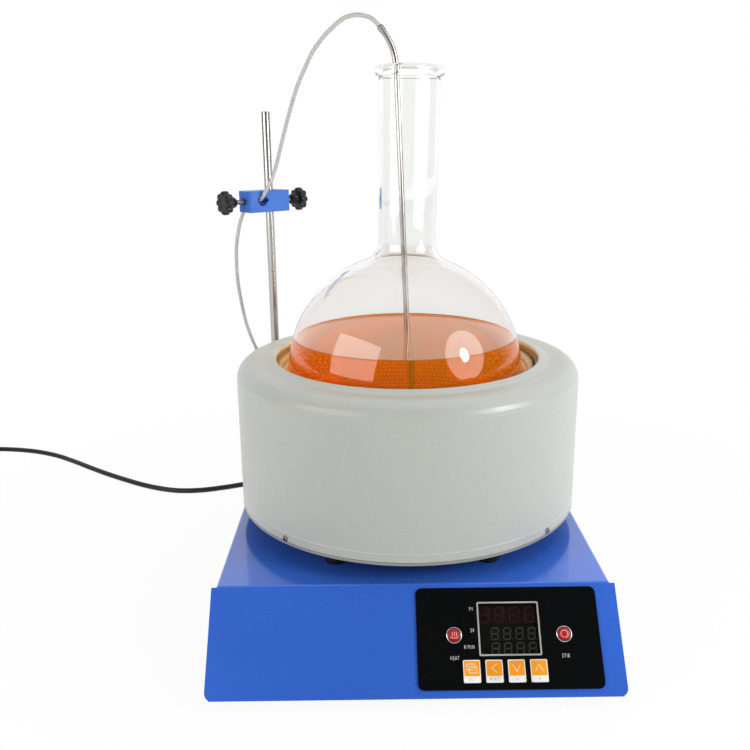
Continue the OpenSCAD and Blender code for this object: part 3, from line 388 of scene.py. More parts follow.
def drum_paint(colour, pitch, name="drum_paint"):
    """Light grey stoved paint with a fine orange peel."""
    f = Finish(name)
    peel = f.noise(1 / pitch, 2.0, rough=0.6)
    broad = f.noise(0.3 / pitch, 1.0)
    relief = f.bump(peel, 0.00007, 0.8, f.bump(broad, 0.0001, 0.5))
    fine = f.between(peel, 0.3, 0.7)
    base = f.mix(fine, shade(colour, 0.95), shade(colour, 1.03))
    # A fine ridge runs round where the sheet turns in: a bump in the paint, with a painted
    # highlight along it that makes the colour lighter there.
    _, _, z = f.axes()
    away = f.maths("ABSOLUTE", z - SEAM_Z * MM)
    ridge_and_highlight = f.between(away, 0.0002, 0.0009, 1.0, 0.0)
    # Painted highlight: the paint turns lighter along the ridge.
    base = f.mix(ridge_and_highlight * 0.55, base, shade(colour, 1.45))
    relief = f.bump(ridge_and_highlight, 0.0003, 0.8, relief)
    return f.surface(base_color=base, roughness=0.26 + f.noise(40, 3.0) * 0.14,
                     ior=1.5, normal=relief)


def satin_paint(colour, name="satin_paint"):
    """Satin paint on a casting, with a light grain."""
    f = Finish(name)
    grain = f.noise(900, 2.0)
    return f.surface(
        base_color=tinted(f, colour, 0.06, 60), ior=1.5,
        roughness=0.34 + grain * 0.14, normal=f.bump(grain, 0.00008, 0.6))


def drawn_metal(name, colour, rough, stretch=(1, 1, 0.01), lines=2200):
    """Bare metal with fine lines along one axis."""
    f = Finish(name)
    streak = f.noise(lines, 2.0, stretch)
    stain = f.noise(25, 3.0)
    base = f.mix(f.between(streak, 0.25, 0.75), shade(colour, 0.82), colour)
    return f.surface(
        base_color=base, metallic=1.0,
        roughness=rough + streak * 0.1 + f.between(stain, 0.4, 0.8) * 0.08,
        normal=f.bump(streak, 0.00001, 0.5))


def even_metal(name, colour, rough, grain=900):
    """Bare metal with an even grain."""
    return drawn_metal(name, colour, rough, (1, 1, 1), grain)


def moulded(name, colour, rough=0.45, grain=1200, depth=0.00003):
    """Moulded plastic or rubber with a fine grain and slight dust."""
    f = Finish(name)
    skin = f.noise(grain, 2.0)
    return f.surface(
        base_color=tinted(f, colour, 0.12, 45), ior=1.46,
        roughness=rough + f.noise(80, 3.0) * 0.14, normal=f.bump(skin, depth, 0.7))


def black_acrylic():
    """Polished black overlay with dust and hairline scratches."""
    f = Finish("black_acrylic")
    dust = f.between(f.noise(1500, 0.0), 0.8, 0.86)
    hair = f.between(f.noise(500, 2.0, (0.05, 1, 1)), 0.62, 0.75)
    base = f.mix(dust * 0.35, srgb(12, 13, 14), srgb(80, 82, 84))
    return f.surface(base_color=base, roughness=0.06 + hair * 0.1 + dust * 0.3,
                     ior=1.5, specular_level=0.22, normal=f.bump(f.noise(20, 0.0), 0.0002, 0.2))


def smoked_window():
    """Dark see-through plastic over the digits."""
    f = Finish("smoked_window")
    haze = f.noise(30, 3.0)
    return f.surface(
        base_color=f.mix(haze, (0.33, 0.335, 0.33), (0.4, 0.405, 0.4)),
        roughness=0.04 + haze * 0.03, transmission_weight=1.0, ior=1.2)


def clear_glass(tint):
    """Borosilicate glass with the faint waves of blown work."""
    f = Finish("clear_glass")
    waves = f.noise(18, 2.0, (1, 1, 0.35))
    return f.surface(lamps=(1.0, 1.0, 1.0), base_color=tint,
                     roughness=0.0, ior=1.47, transmission_weight=1.0,
                     normal=f.bump(waves, 0.0006, 0.25))


def stained_liquid(colour, density):
    """Clear liquid that takes up more light the deeper it is."""
    f = Finish("stained_liquid")
    depth = f.node("ShaderNodeVolumeAbsorption", {"Color": colour, "Density": density})
    f.close(depth, "Volume")
    return f.surface(lamps=(1.0, 0.86, 0.5), base_color=(1.0, 0.37, 0.0),
                     roughness=0.0, ior=1.345, specular_level=0.15, transmission_weight=0.78)


def knitted_cloth(colour, columns, rows):
    """Knitted glass-fibre yarn. Columns of stitches run round u and rows
    along v, and every second row is shifted by half a stitch."""
    f = Finish("knitted_cloth")
    u, v, _ = f.axes("UV")
    shift = f.maths("SINE", v * (math.pi * rows)) * 0.5
    across = f.maths("SINE", (u * columns) * (2 * math.pi) + shift * math.pi)
    along = f.maths("SINE", v * (2 * math.pi * rows))
    loop = (across * 0.5 + 0.5) * (along * 0.45 + 0.55)
    fibre = f.noise(2600, 2.0)
    height = loop * 0.8 + fibre * 0.2
    # Painted shade: the gaps between the loops are painted darker.
    pit_shade = f.between(loop, 0.02, 0.45)
    pale = f.mix(pit_shade, shade(colour, 0.3), colour)
    base = f.mix(f.between(f.noise(160, 3.0), 0.35, 0.7) * 0.4, pale, shade(colour, 0.7))
    return f.surface(base_color=base, roughness=0.82, sheen_weight=0.15,
                     normal=f.bump(height, 0.0009, 0.9))


def woven_tape(name, colour, across=0.0009):
    """Woven tape or wadding, from crossed threads in space."""
    f = Finish(name)
    x, y, z = f.axes()
    warp = f.maths("SINE", (x + y) * (2 * math.pi / across))
    weft = f.maths("SINE", (z + x * 0.3 - y * 0.3) * (2 * math.pi / across))
    thread = (warp * weft) * 0.5 + 0.5
    base = f.mix(thread, shade(colour, 0.62), colour)
    return f.surface(base_color=base, roughness=0.85, sheen_weight=0.2,
                     normal=f.bump(thread + f.noise(700, 3.0), 0.0003, 0.8))


def braided_jacket(colour, pitch=0.0042):
    """Cord jacket: two sets of yarns wound against each other. U runs round
    the cord and v along it in metres."""
    f = Finish("braided_jacket")
    u, v, _ = f.axes("UV")
    wind = v * (2 * math.pi / pitch)
    left = f.maths("SINE", u * (2 * math.pi * 6) + wind)
    right = f.maths("SINE", u * (2 * math.pi * 6) - wind)
    yarn = (left * right) * 0.5 + 0.5
    base = f.mix(yarn, shade(colour, 0.93), colour)
    return f.surface(base_color=base, roughness=0.38, ior=1.45, normal=f.bump(yarn, 0.00004, 0.4))


def hand_worn_steel():
    """Bright tube with drawn streaks and a few darker heat marks."""
    f = Finish("probe_steel")
    u, v, _ = f.axes("UV")
    streak = f.node("ShaderNodeTexNoise", {
        "Vector": f.node("ShaderNodeCombineXYZ", {0: u * 9.0, 1: v * 6.0, 2: 0.0}),
        "Scale": 1.0, "Detail": 4.0})
    dents = f.noise(120, 1.0)
    base = f.mix(f.between(streak, 0.3, 0.7), srgb(128, 122, 116), srgb(214, 211, 207))
    return f.surface(base_color=base, metallic=1.0, roughness=0.16 + streak * 0.16,
                     normal=f.bump(dents, 0.0004, 0.35))


def dress(material, *nodes):
    """Gives CAD nodes a finish."""
    for name in nodes:
        for holder in CAD_OBJECTS[name].material_slots:
            holder.material = material


def feet(owner):
    """Names of the four feet of the base or the mantle."""
    return [f"{owner}_foot_{end}_{side}" for end in ("front", "rear")
            for side in ("left", "right")]


# -------------------------------------------------------------------- shapes


def turned_about(axis, degrees):
    """Turn as a 4x4 array."""
    return np.array(Matrix.Rotation(math.radians(degrees), 4, axis))


def moved(x, y, z):
    """Shift as a 4x4 array."""
    return np.array(Matrix.Translation((x, y, z)))


PANEL_FRAME = moved(BASE_X, FOLD_Y, BASE_H) @ turned_about("X", PANEL_TILT)
BOSS_FRAME = moved(*BOSS) @ turned_about("Z", BOSS_TURN)
LEFT_SCREW = BOSS_FRAME @ moved(-BOSS_LEFT, 0, 0) @ turned_about("Y", -90)
RIGHT_SCREW = BOSS_FRAME @ moved(BOSS_RIGHT, 0, 0) @ turned_about("Y", 90)
FLASK_FRAME = moved(*BALL) @ turned_about("Y", FLASK_LEAN)
BALL_FRAME = moved(*BALL)


def carried(points, place):
    """Points in millimetres carried by a frame and brought to metres."""
    return (points @ place[:3, :3].T + place[:3, 3]) * MM


def new_object(name, data):
    """Object in the scene for a mesh, curve, lamp or camera."""
    made = bpy.data.objects.new(name, data)
    bpy.context.scene.collection.objects.link(made)
    return made


def new_piece(name, points, faces, material, smooth=True):
    """A mesh object from arrays of points in metres and faces."""
    mesh = bpy.data.meshes.new(name)
    mesh.from_pydata(points.reshape(-1, 3).tolist(), [], faces)
    mesh.polygons.foreach_set("use_smooth", [smooth] * len(mesh.polygons))
    mesh.materials.append(material)
    mesh.update()
    piece = new_object(name, mesh)
    return piece


def weld(piece, distance=1e-7, outward=True):
    """Merges double points and turns the faces outwards."""
    work = bmesh.new()
    work.from_mesh(piece.data)
    bmesh.ops.remove_doubles(work, verts=work.verts, dist=distance)
    bmesh.ops.dissolve_degenerate(work, edges=work.edges, dist=distance)
    if outward:
        bmesh.ops.recalc_face_normals(work, faces=work.faces)
    work.to_mesh(piece.data)
    work.free()
    piece.data.update()
    return piece


def ring_grid(name, points, material, lengths=None):
    """Surface through a grid of points (rows, columns, 3) in metres, whose
    last row joins the first. U runs over the rows and v over the columns,
    from 0 to 1, or v is the given length at each column."""
    rows, columns = points.shape[:2]
    index = np.arange(rows * columns).reshape(rows, columns)
    index = np.vstack([index, index[:1]])
    quads = np.stack([index[:-1, :-1], index[1:, :-1], index[1:, 1:],
                      index[:-1, 1:]], -1).reshape(-1, 4)
    piece = new_piece(name, points, quads.tolist(), material)
    u = np.linspace(0, 1, index.shape[0])
    v = np.linspace(0, 1, index.shape[1])
    if lengths is not None:
        v = np.asarray(lengths, float)
    layer = np.empty((len(u) - 1, len(v) - 1, 4, 2))
    layer[..., 0] = np.stack([u[:-1], u[1:], u[1:], u[:-1]], -1)[:, None]
    layer[..., 1] = np.stack([v[:-1], v[:-1], v[1:], v[1:]], -1)[None]
    uv = piece.data.uv_layers.new(name="UVMap")
    uv.data.foreach_set("uv", layer.ravel())
    return weld(piece)


def unit(vectors):
    """Vectors brought to length 1."""
    return vectors / np.linalg.norm(vectors, axis=-1, keepdims=True)


def full_turn(steps):
    """Angles of evenly spaced points round a circle."""
    return np.linspace(0, 2 * math.pi, steps, endpoint=False)


def circle(middle, radius, angle):
    """Points at these angles, in radians, round a middle."""
    return np.asarray(middle) + radius * np.stack([np.cos(angle), np.sin(angle)], -1)


def rounded(points, radii, steps=7):
    """Outline with each corner swapped for an arc that touches both of its
    edges: the arc's middle lies on the corner's bisector, at radius over
    the sine of half the corner."""
    points = np.asarray(points, float)
    out = []
    for i, radius in enumerate(radii):
        at = points[i]
        if radius <= 0:
            out.append(at[None])
            continue
        u = unit(points[i - 1] - at)
        v = unit(points[(i + 1) % len(points)] - at)
        half = math.acos(np.clip(u @ v, -1, 1)) / 2
        middle = at + unit(u + v) * radius / math.sin(half)
        start = at + u * radius / math.tan(half) - middle
        stop = at + v * radius / math.tan(half) - middle
        turn = math.atan2(start[0] * stop[1] - start[1] * stop[0], start @ stop)
        angle = math.atan2(start[1], start[0])
        angle = angle + turn * np.linspace(0, 1, steps)
        out.append(circle(middle, radius, angle))
    return np.vstack(out)


def lathe(name, profile, place, material, turns=128, lobe=None):
    """Solid of revolution: each profile point (radius, height) goes round
    the frame's Z axis. lobe adds a radius that depends on the angle and on
    the profile point. Points on the axis are merged into poles."""
    profile = np.asarray(profile, float)
    angle = full_turn(turns)[:, None]
    radius = np.repeat(profile[None, :, 0], turns, 0)
    if lobe is not None:
        radius = radius + lobe(angle, profile)
    points = np.stack([radius * np.cos(angle), radius * np.sin(angle),
                       np.repeat(profile[None, :, 1], turns, 0)], -1)
    return ring_grid(name, carried(points, place), material)


def arc(middle, radius, start, stop, steps):
    """Points of an arc from one angle to another, in degrees."""
    return circle(middle, radius, np.radians(np.linspace(start, stop, steps)))


def smooth_path(points, steps=4):
    """Catmull-Rom curve: between two points it is the cubic whose slope at
    each end is half the step between that point's neighbours."""
    p = np.asarray(points, float)
    ends = np.vstack([2 * p[0] - p[1], p, 2 * p[-1] - p[-2]])
    a, b, c, d = ends[:-3], ends[1:-2], ends[2:-1], ends[3:]
    t = np.linspace(0, 1, steps, endpoint=False)[None, :, None]
    a, b, c, d = (q[:, None, :] for q in (a, b, c, d))
    curve = 0.5 * (2 * b + (c - a) * t + (2 * a - 5 * b + 4 * c - d) * t ** 2
                   + (3 * b - a - 3 * c + d) * t ** 3)
    return np.vstack([curve.reshape(-1, 3), p[-1:]])


def tube(name, path, radius, material, sides=12, upright=(0, 0, 1)):
    """Round tube along a path in millimetres, with flat ends. At each
    station the ring lies in the plane of two directions at right angles to
    the heading, the first of them nearest to upright."""
    path = np.asarray(path, float)
    heading = unit(np.gradient(path, axis=0))
    upright = np.broadcast_to(np.asarray(upright, float), heading.shape)
    side = unit(upright - heading * np.sum(upright * heading, 1, keepdims=True))
    other = np.cross(heading, side)
    angle = full_turn(sides)[:, None, None]
    radius = np.broadcast_to(np.asarray(radius, float), (len(path)))
    rings = path[None] + radius[None, :, None] * (
        np.cos(angle) * side[None] + np.sin(angle) * other[None])
    middles = np.repeat(path[None], sides, 0)
    points = np.concatenate([middles[:, :1], rings, middles[:, -1:]], 1) * MM
    steps = np.linalg.norm(np.diff(points[0], axis=0), axis=1)
    along = np.concatenate([[0], np.cumsum(steps)])
    return ring_grid(name, points, material, along)


def slab(name, outlines, place, low, high, material):
    """Flat plates of any outline between two heights of a frame, in one
    mesh: a face over each outline, one under it and a wall round it."""
    points, faces = [], []
    for outline in outlines:
        outline = np.asarray(outline, float)
        count, first = len(outline), sum(len(p) for p in points)
        points.append(np.vstack([
            np.column_stack([outline, np.full(count, low)]),
            np.column_stack([outline, np.full(count, high)])]))
        ring = np.arange(count)
        after = np.roll(ring, -1)
        faces.append((first + ring[::-1]).tolist())
        faces.append((first + count + ring).tolist())
        faces += (first + np.stack([ring, after, after + count, ring + count], -1)).tolist()
    piece = new_piece(name, carried(np.vstack(points), place), faces, material, smooth=False)
    return weld(piece)


def box_outline(x0, y0, x1, y1, radius):
    """Rectangle with rounded corners."""
    return rounded([(x0, y0), (x1, y0), (x1, y1), (x0, y1)], [radius] * 4, 5)


def along_and_side(a, b, width):
    """Direction of a line, and half its width at right angles to it."""
    along = unit(b - a)
    return along, np.array([-along[1], along[0]]) * width / 2


def stroke(a, b, width):
    """Outline of a straight line of some width with square ends."""
    a, b = np.asarray(a, float), np.asarray(b, float)
    _, side = along_and_side(a, b, width)
    return np.array([a - side, b - side, b + side, a + side])


def strokes(points, width):
    """Strokes from each point to the next."""
    return [stroke(a, b, width) for a, b in zip(points[:-1], points[1:])]


def lettering(name, labels, place, high, depth, material):
    """Words as thin raised print in one mesh. A label is (text, x, y,
    height, width share), centred at x and standing on y."""
    points, faces = [], []
    for text, x, y, size, narrow in labels:
        curve = bpy.data.curves.new(name, "FONT")
        curve.body = text
        curve.resolution_u = 3
        curve.extrude = 0.5
        curve.offset = -0.012
        curve.space_character = 1.3
        holder = new_object(name, curve)
        bpy.context.view_layer.update()
        mesh = holder.evaluated_get(bpy.context.evaluated_depsgraph_get()).to_mesh()
        spots = np.empty(len(mesh.vertices) * 3)
        mesh.vertices.foreach_get("co", spots)
        spots = spots.reshape(-1, 3)
        capital = spots[:, 1].max() - spots[:, 1].min()
        scale = size / capital
        middle = (spots[:, 0].max() + spots[:, 0].min()) / 2
        first = sum(len(p) for p in points)
        points.append(np.column_stack([
            x + (spots[:, 0] - middle) * scale * narrow,
            y + (spots[:, 1] - spots[:, 1].min()) * scale, high + (spots[:, 2] + 0.5) * depth]))
        faces += [[first + i for i in face.vertices] for face in mesh.polygons]
        holder.to_mesh_clear()
        bpy.data.objects.remove(holder)
        bpy.data.curves.remove(curve)
    piece = new_piece(name, carried(np.vstack(points), place), faces, material, smooth=False)
    return weld(piece, 1e-8, outward=False)


# ----------------------------------------------------------------- operators


class MANTLE_OT_camera(bpy.types.Operator):
    """Camera in front, a little to the left, looking slightly down"""

    bl_idname = "mantle.camera"
    bl_label = "Camera"

    def execute(self, context):
        lens = bpy.data.cameras.new("camera")
        lens.sensor_width = SENSOR
        lens.lens = FOCAL_LENGTH
        lens.clip_end = 50
        camera = new_object("camera", lens)
        pitch, yaw, roll = (math.radians(a) for a in CAMERA_TURN)
        forward = np.array([math.sin(yaw) * math.cos(pitch),
                            math.cos(yaw) * math.cos(pitch), -math.sin(pitch)])
        right = np.array([math.cos(yaw), -math.sin(yaw), 0])
        up = np.cross(right, forward)
        c, s = math.cos(roll), math.sin(roll)
        pose = np.eye(4)
        pose[:3, 0] = c * right + s * up
        pose[:3, 1] = c * up - s * right
        pose[:3, 2] = -forward
        pose[:3, 3] = np.array(CAMERA_AT) * MM
        camera.matrix_world = Matrix(pose.tolist())
        context.scene.camera = camera
        return {"FINISHED"}


class MANTLE_OT_power_cord(bpy.types.Operator):
    """Mains lead from the gland along the bench to a coil and its plug"""

    bl_idname = "mantle.power_cord"
    bl_label = "Power cord"

    def execute(self, context):
        # The coil winds inwards on the bench for two turns, climbs, and winds
        # outwards on top: the radius falls by one cord for each turn.
        turn = np.linspace(0, COIL_TURNS, 86)
        down = np.clip(turn / COIL_LAYER, 0, 1)
        climb = np.clip((turn - COIL_LAYER) / COIL_CLIMB, 0, 1)
        top = COIL_LAYER + COIL_CLIMB
        out = np.clip((turn - top) / (COIL_TURNS - top), 0, 1)
        radius = COIL_OUT + (COIL_IN - COIL_OUT) * (down - out)
        angle = math.pi / 2 + 2 * math.pi * turn
        lift = climb * climb * (3 - 2 * climb)
        coil = np.column_stack([
            COIL[0] + radius * np.cos(angle), COIL[1] + radius * np.sin(angle),
            CORD_REST + CORD_D * lift])
        route = smooth_path(CORD_ROUTE + [tuple(coil[0])], 4)[:-1]
        tail = smooth_path([tuple(coil[-1])] + TAIL_ROUTE, 3)
        path = np.vstack([route, coil, tail[1:]])
        jacket = moulded("cord_rubber", srgb(24, 24, 26), 0.38, 700, 0.00004)
        cord = tube("power_cord_run", path, CORD_D / 2, jacket, 14)
        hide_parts("power_cord", "power_cord_coil")
        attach(cord, "stand")
        dress(moulded("plug_plastic", srgb(26, 26, 28), 0.34, 1500), "mains_plug")
        dress(moulded("gland_plastic", srgb(30, 30, 32), 0.4), "cord_gland")
        return {"FINISHED"}


class MANTLE_OT_sensor_lead(bpy.types.Operator):
    """Limp lead from the probe through the clamp to the rear panel"""

    bl_idname = "mantle.sensor_lead"
    bl_label = "Sensor lead"

    def execute(self, context):
        steps = 4
        whole = smooth_path(LEAD_ROUTE, steps)
        jacket = braided_jacket(srgb(205, 203, 199))
        for name, first, last, start, stop, node in LEAD_LENGTHS:
            path = whole[first * steps:last * steps + 1]
            lead = tube(name, path, LEAD_D / 2, jacket, 12, (1, 0.6, 0.1))
            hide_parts(node)
            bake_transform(lead)
        dress(drawn_metal("plug_nickel", srgb(190, 188, 184), 0.2), "sensor_plug", "sensor_socket")
        return {"FINISHED"}


class MANTLE_OT_base(bpy.types.Operator):
    """Enamelled sheet base, its tray, feet and screws"""

    bl_idname = "mantle.base"
    bl_label = "Base"

    def execute(self, context):
        paint = context.scene.mantle_paint
        dress(gloss_enamel(paint.base), "base_cover", "base_tray")
        dress(moulded("foot_rubber", srgb(22, 22, 23), 0.6), *feet("base"))
        dress(even_metal("screw_steel", srgb(142, 142, 144), 0.22, 700),
              "base_screws", "mantle_screws")
        return {"FINISHED"}


def display_digits(name, down, right, height, width, material):
    """Four figures of seven bars and a dot, the bars leaning by a
    twelfth of their height. A bar is a line with pointed ends."""
    pitch = width / 4
    bar, w, h = height * 0.11, pitch * 0.56, height * 0.86
    lean = h / 12
    outlines = []
    for i in range(4):
        at = (right - width + (i + 0.2) * pitch, -(down + height * 0.93))
        for ax, ay, bx, by in (
                (0, 0, w, 0), (0, h / 2, w, h / 2), (0, h, w, h),
                (0, 0, 0, h / 2), (0, h / 2, 0, h), (w, 0, w, h / 2), (w, h / 2, w, h)):
            a = np.array([ax + lean * ay / h, ay])
            b = np.array([bx + lean * by / h, by])
            along, side = along_and_side(a, b, bar)
            a, b = a + along * bar * 0.12, b - along * bar * 0.12
            inner = along * bar / 2
            ring = np.array([a, a + inner - side, b - inner - side, b,
                             b - inner + side, a + inner + side])
            outlines.append(ring + at)
        outlines.append(circle((at[0] + w * 1.28, at[1]), bar * 0.5, full_turn(10)))
    piece = slab(name, outlines, PANEL_FRAME, DIGITS_LOW, DIGITS_HIGH, material)
    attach(piece, "stand")


def panel_keys(look):
    """Coloured field, icon and word on each of the four keys."""
    white = moulded("key_white", srgb(238, 238, 236), 0.3)
    orange = moulded("key_orange", look.key, 0.32)
    ink = moulded("key_grey_ink", srgb(150, 152, 152), 0.5)
    # The upper field of a key, and for each key its word, the word's
    # height and the bends of its icon.
    top, foot = -(KEY_S - 7.9), -(KEY_S + 3.6)
    mid = (top + foot) / 2
    marks = (
        ("set", "SET", 2.2, None), ("shift", "R/AT", 2.2, ((1.9, 3.1), (-2.4, 0), (1.9, -3.1))),
        ("down", "-", 0.5, ((-3.1, 2.9), (0, -2.6), (3.1, 2.9))),
        ("up", "+", 2.2, ((-3.1, -2.6), (0, 2.9), (3.1, -2.6))))
    dress(white, *(f"key_{mark[0]}" for mark in marks))
    for x, (name, word, tall, bends) in zip(KEY_XS, marks):
        field = slab(f"key_{name}_field",
                     [box_outline(x - FIELD_HALF, foot, x + FIELD_HALF, top, 0.7)],
                     PANEL_FRAME, KEY_FACE - SUNK, KEY_FACE + FIELD_T, orange)
        lines = sheets_icon(x, mid) if bends is None else strokes(
            [np.array(bend) + (x, mid) for bend in bends], KEY_LINE)
        icon = slab(f"key_{name}_icon", lines, PANEL_FRAME,
                    KEY_FACE + 0.04, KEY_FACE + 0.09, white)
        label = lettering(
            f"key_{name}_word", [(word, x, -(KEY_S + 6.9), tall, 0.9)],
            PANEL_FRAME, KEY_FACE - SUNK, PRINT_T, ink)
        for piece in (field, icon, label):
            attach(piece, f"key_{name}")


def sheets_icon(x, y):
    """Icon of a sheet and what shows of another one behind it."""
    back = box_outline(x - 4.0, y - 0.9, x + 2.4, y + 3.4, 1.0)
    front = box_outline(x - 2.4, y - 3.4, x + 4.0, y + 1.3, 1.0)
    hidden = np.all((back > front.min(0)) & (back < front.max(0)), 1)
    both = hidden & np.roll(hidden, -1)
    return [line for line, away in zip(
        strokes(np.vstack([back, back[:1]]), KEY_LINE), both) if not away
            ] + strokes(np.vstack([front, front[:1]]), KEY_LINE)


def panel_buttons(look):
    """Red caps with their marks, and the bezels round them."""
    dress(moulded("button_red", look.button, 0.26, 500, 0.00002), "heat_button", "stir_button")
    dress(even_metal("bezel_chrome", srgb(225, 226, 228), 0.12), "heat_bezel", "stir_bezel")
    ink = moulded("button_ink", srgb(236, 186, 176), 0.5)
    # A flask over a flame on one, a turning arrow on the other.
    x, y = HEAT_X, -BUTTON_S
    heat = [stroke((x - 2.7, y - 2.3), (x + 2.7, y - 2.3), 0.55)]
    for k in (-1.7, 0, 1.7):
        heat += strokes([(x + k, y - 1.1), (x + k + 0.4, y + 0.6), (x + k, y + 2.3)], 0.5)
    for k in (-1, 1):
        heat.append(stroke((x + k * 2.7, y - 2.3), (x + k * 3.0, y - 1.3), 0.5))
    ring = arc((STIR_X, y), 2.8, -60, 262, 21)
    stir = strokes(ring, 0.5) + [ring[0] + [(-1.0, -1.0), (1.0, -0.2), (0.1, 1.1)]]
    for name, marks in (("heat_button", heat), ("stir_button", stir)):
        piece = slab(f"{name}_mark", marks, PANEL_FRAME, CAP_TOP - 0.6,
                     CAP_TOP + 0.03, ink)
        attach(piece, name)


def panel_words(look):
    """Words beside the display and the buttons."""
    white = moulded("label_white", srgb(226, 226, 226), 0.5)
    tall = look.letter / MM
    labels = [
        ("PV", 46.8, -22.7, tall, 0.6), ("SV", 46.8, -39.6, tall, 0.6),
        ("R/MIN", 43.6, -52.4, tall, 0.58), ("HEAT", 31.6, -60.8, tall, 0.56),
        ("STIR", 120.4, -59.9, tall, 0.6)]
    piece = lettering("panel_words", labels, PANEL_FRAME,
                      OVERLAY_T - SUNK, PRINT_T, white)
    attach(piece, "stand")


class MANTLE_OT_panel(bpy.types.Operator):
    """Black overlay, display, keys, buttons and their print"""

    bl_idname = "mantle.panel"
    bl_label = "Control panel"

    def execute(self, context):
        look = context.scene.mantle_print
        dress(black_acrylic(), "panel_overlay")
        dress(moulded("frame_plastic", srgb(172, 173, 170), 0.3), "display_frame")
        dress(smoked_window(), "display_window")
        dress(moulded("module_plastic", srgb(66, 68, 62), 0.4), "display_module")
        red = moulded("red_digit", srgb(172, 62, 72), 0.5)
        grey = moulded("grey_digit", srgb(168, 174, 160), 0.5)
        for name, down, right, height, width, ink in (
                ("red_digits", 2.9, 48.9, 13.7, 49.0, red),
                ("upper_grey_digits", 19.6, 48.6, 10.2, 39.8, grey),
                ("lower_grey_digits", 31.3, 48.6, 10.0, 39.8, grey)):
            display_digits(name, DISPLAY_S + down, DISPLAY_X + right, height, width, ink)
        panel_keys(look)
        panel_buttons(look)
        panel_words(look)
        return {"FINISHED"}


class MANTLE_OT_drum(bpy.types.Operator):
    """Painted mantle, its bottom plate and feet"""

    bl_idname = "mantle.drum"
    bl_label = "Mantle"

    def execute(self, context):
        paint = context.scene.mantle_paint
        dress(drum_paint(paint.drum, paint.peel), "mantle_shell")
        # The plate's edge is painted darker than the shell, as painted shade under the shell's
        # lower edge.
        dress(drum_paint(shade(paint.drum, 0.6), paint.peel, "plate_painted_shade"), "mantle_bottom")
        dress(moulded("mantle_foot_rubber", srgb(20, 20, 21), 0.6), *feet("mantle"))
        return {"FINISHED"}


class MANTLE_OT_bowl(bpy.types.Operator):
    """Knitted glass-fibre bowl with its sewn edge"""

    bl_idname = "mantle.bowl"
    bl_label = "Heating bowl"

    def execute(self, context):
        look = context.scene.mantle_filling
        cloth = knitted_cloth(look.cloth, look.stitches, CLOTH_ROWS)
        inner = BALL_R + 0.3
        outer = inner + CLOTH_T
        # From the pole up the inside to the lip, and down the outside.
        inside = arc((0, 0), inner, -90, 0, 48)
        outside = arc((0, 0), outer, 0, -90, 40)
        lip_r = MOUTH_R - 2.4
        lip = np.array([(lip_r - 1.0, 9.3), (lip_r, 9.0), (lip_r, 6.5)])
        profile = np.vstack([inside, (inner + 2.0, 1.5), lip, outside])
        bowl = lathe("knitted_bowl", profile, BALL_FRAME, cloth, 160)
        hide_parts("heating_bowl")
        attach(bowl, "stand")
        dress(woven_tape("edge_tape", srgb(158, 128, 104)), "bowl_collar")
        dress(woven_tape("wool_pad", srgb(214, 205, 186), 0.003), "bowl_insulation")
        dress(even_metal("heater_alloy", srgb(150, 142, 134), 0.35), "heater_wire")
        return {"FINISHED"}


def flask_outline(inset, top, bead):
    """Half section from the bottom pole to the mouth, or to the bead:
    an arc of the ball, the fillet that touches it, and the neck."""
    r, n, f = BALL_R - inset, NECK_R - inset, NECK_FILLET + inset
    middle = np.array([n + f, math.sqrt((r + f) ** 2 - (n + f) ** 2)])
    lift = math.degrees(math.atan2(middle[1], middle[0]))
    ball = arc((0, 0), r, -90, lift, 120)
    fillet = arc(middle, f, lift + 180, 180, 18)
    rise = np.linspace(0, 1, 24)[1:, None]
    foot, head = fillet[-1], np.array([NECK_TOP_R - inset, top])
    neck = foot + (head - foot) * rise
    if bead:
        neck = neck[neck[:, 1] < top - LIP_H - 1.2]
    return np.vstack([ball, fillet[1:], neck])


def fill_flask(look):
    """The liquid reaches a hair into the glass, so that no air shows
    between them, and climbs it by a small meniscus."""
    r, level = BALL_R - GLASS_T + 0.12, LIQUID_LEVEL
    climb, reach = 1.6, 4.0
    edge = math.degrees(math.asin((level + climb) / r))
    wall = arc((0, 0), r, -90, edge, 110)
    span = np.linspace(0, 1, 12)[1:]
    rim = math.sqrt(r * r - level * level)
    curve = np.column_stack([
        wall[-1][0] - (wall[-1][0] - rim + reach) * span, level + climb * (1 - span) ** 2.4])
    flat = np.column_stack([np.linspace(rim - reach, 0, 24)[1:], np.full(23, level)])
    liquid = lathe("liquid_charge", np.vstack([wall, curve, flat]),
                   BALL_FRAME, stained_liquid(look.liquid, look.density), 160)
    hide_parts("liquid")
    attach(liquid, "stand")


class MANTLE_OT_flask(bpy.types.Operator):
    """Long-necked round flask with a beaded lip"""

    bl_idname = "mantle.flask"
    bl_label = "Flask"

    def execute(self, context):
        look = context.scene.mantle_filling
        glass = clear_glass(look.glass)
        outer = flask_outline(0, FLASK_RISE, True)
        bead = rounded(
            [(NECK_TOP_R - 0.3, FLASK_RISE - LIP_H - 1.2),
             (NECK_TOP_R + 0.1, FLASK_RISE - LIP_H - 0.4),
             (LIP_R, FLASK_RISE - LIP_H + 0.4), (LIP_R, FLASK_RISE),
             (NECK_TOP_R - GLASS_T, FLASK_RISE), (NECK_TOP_R - GLASS_T, FLASK_RISE - 6)],
            [0, 0.5, 3.9, 4.0, 1.3, 0], 10)
        inner = flask_outline(GLASS_T, FLASK_RISE - 6, False)[::-1]
        profile = np.vstack([outer, bead, inner[1:]])
        flask = lathe("glass_flask", profile, FLASK_FRAME, glass, 160)
        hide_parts("flask")
        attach(flask, "stand")
        fill_flask(look)
        return {"FINISHED"}


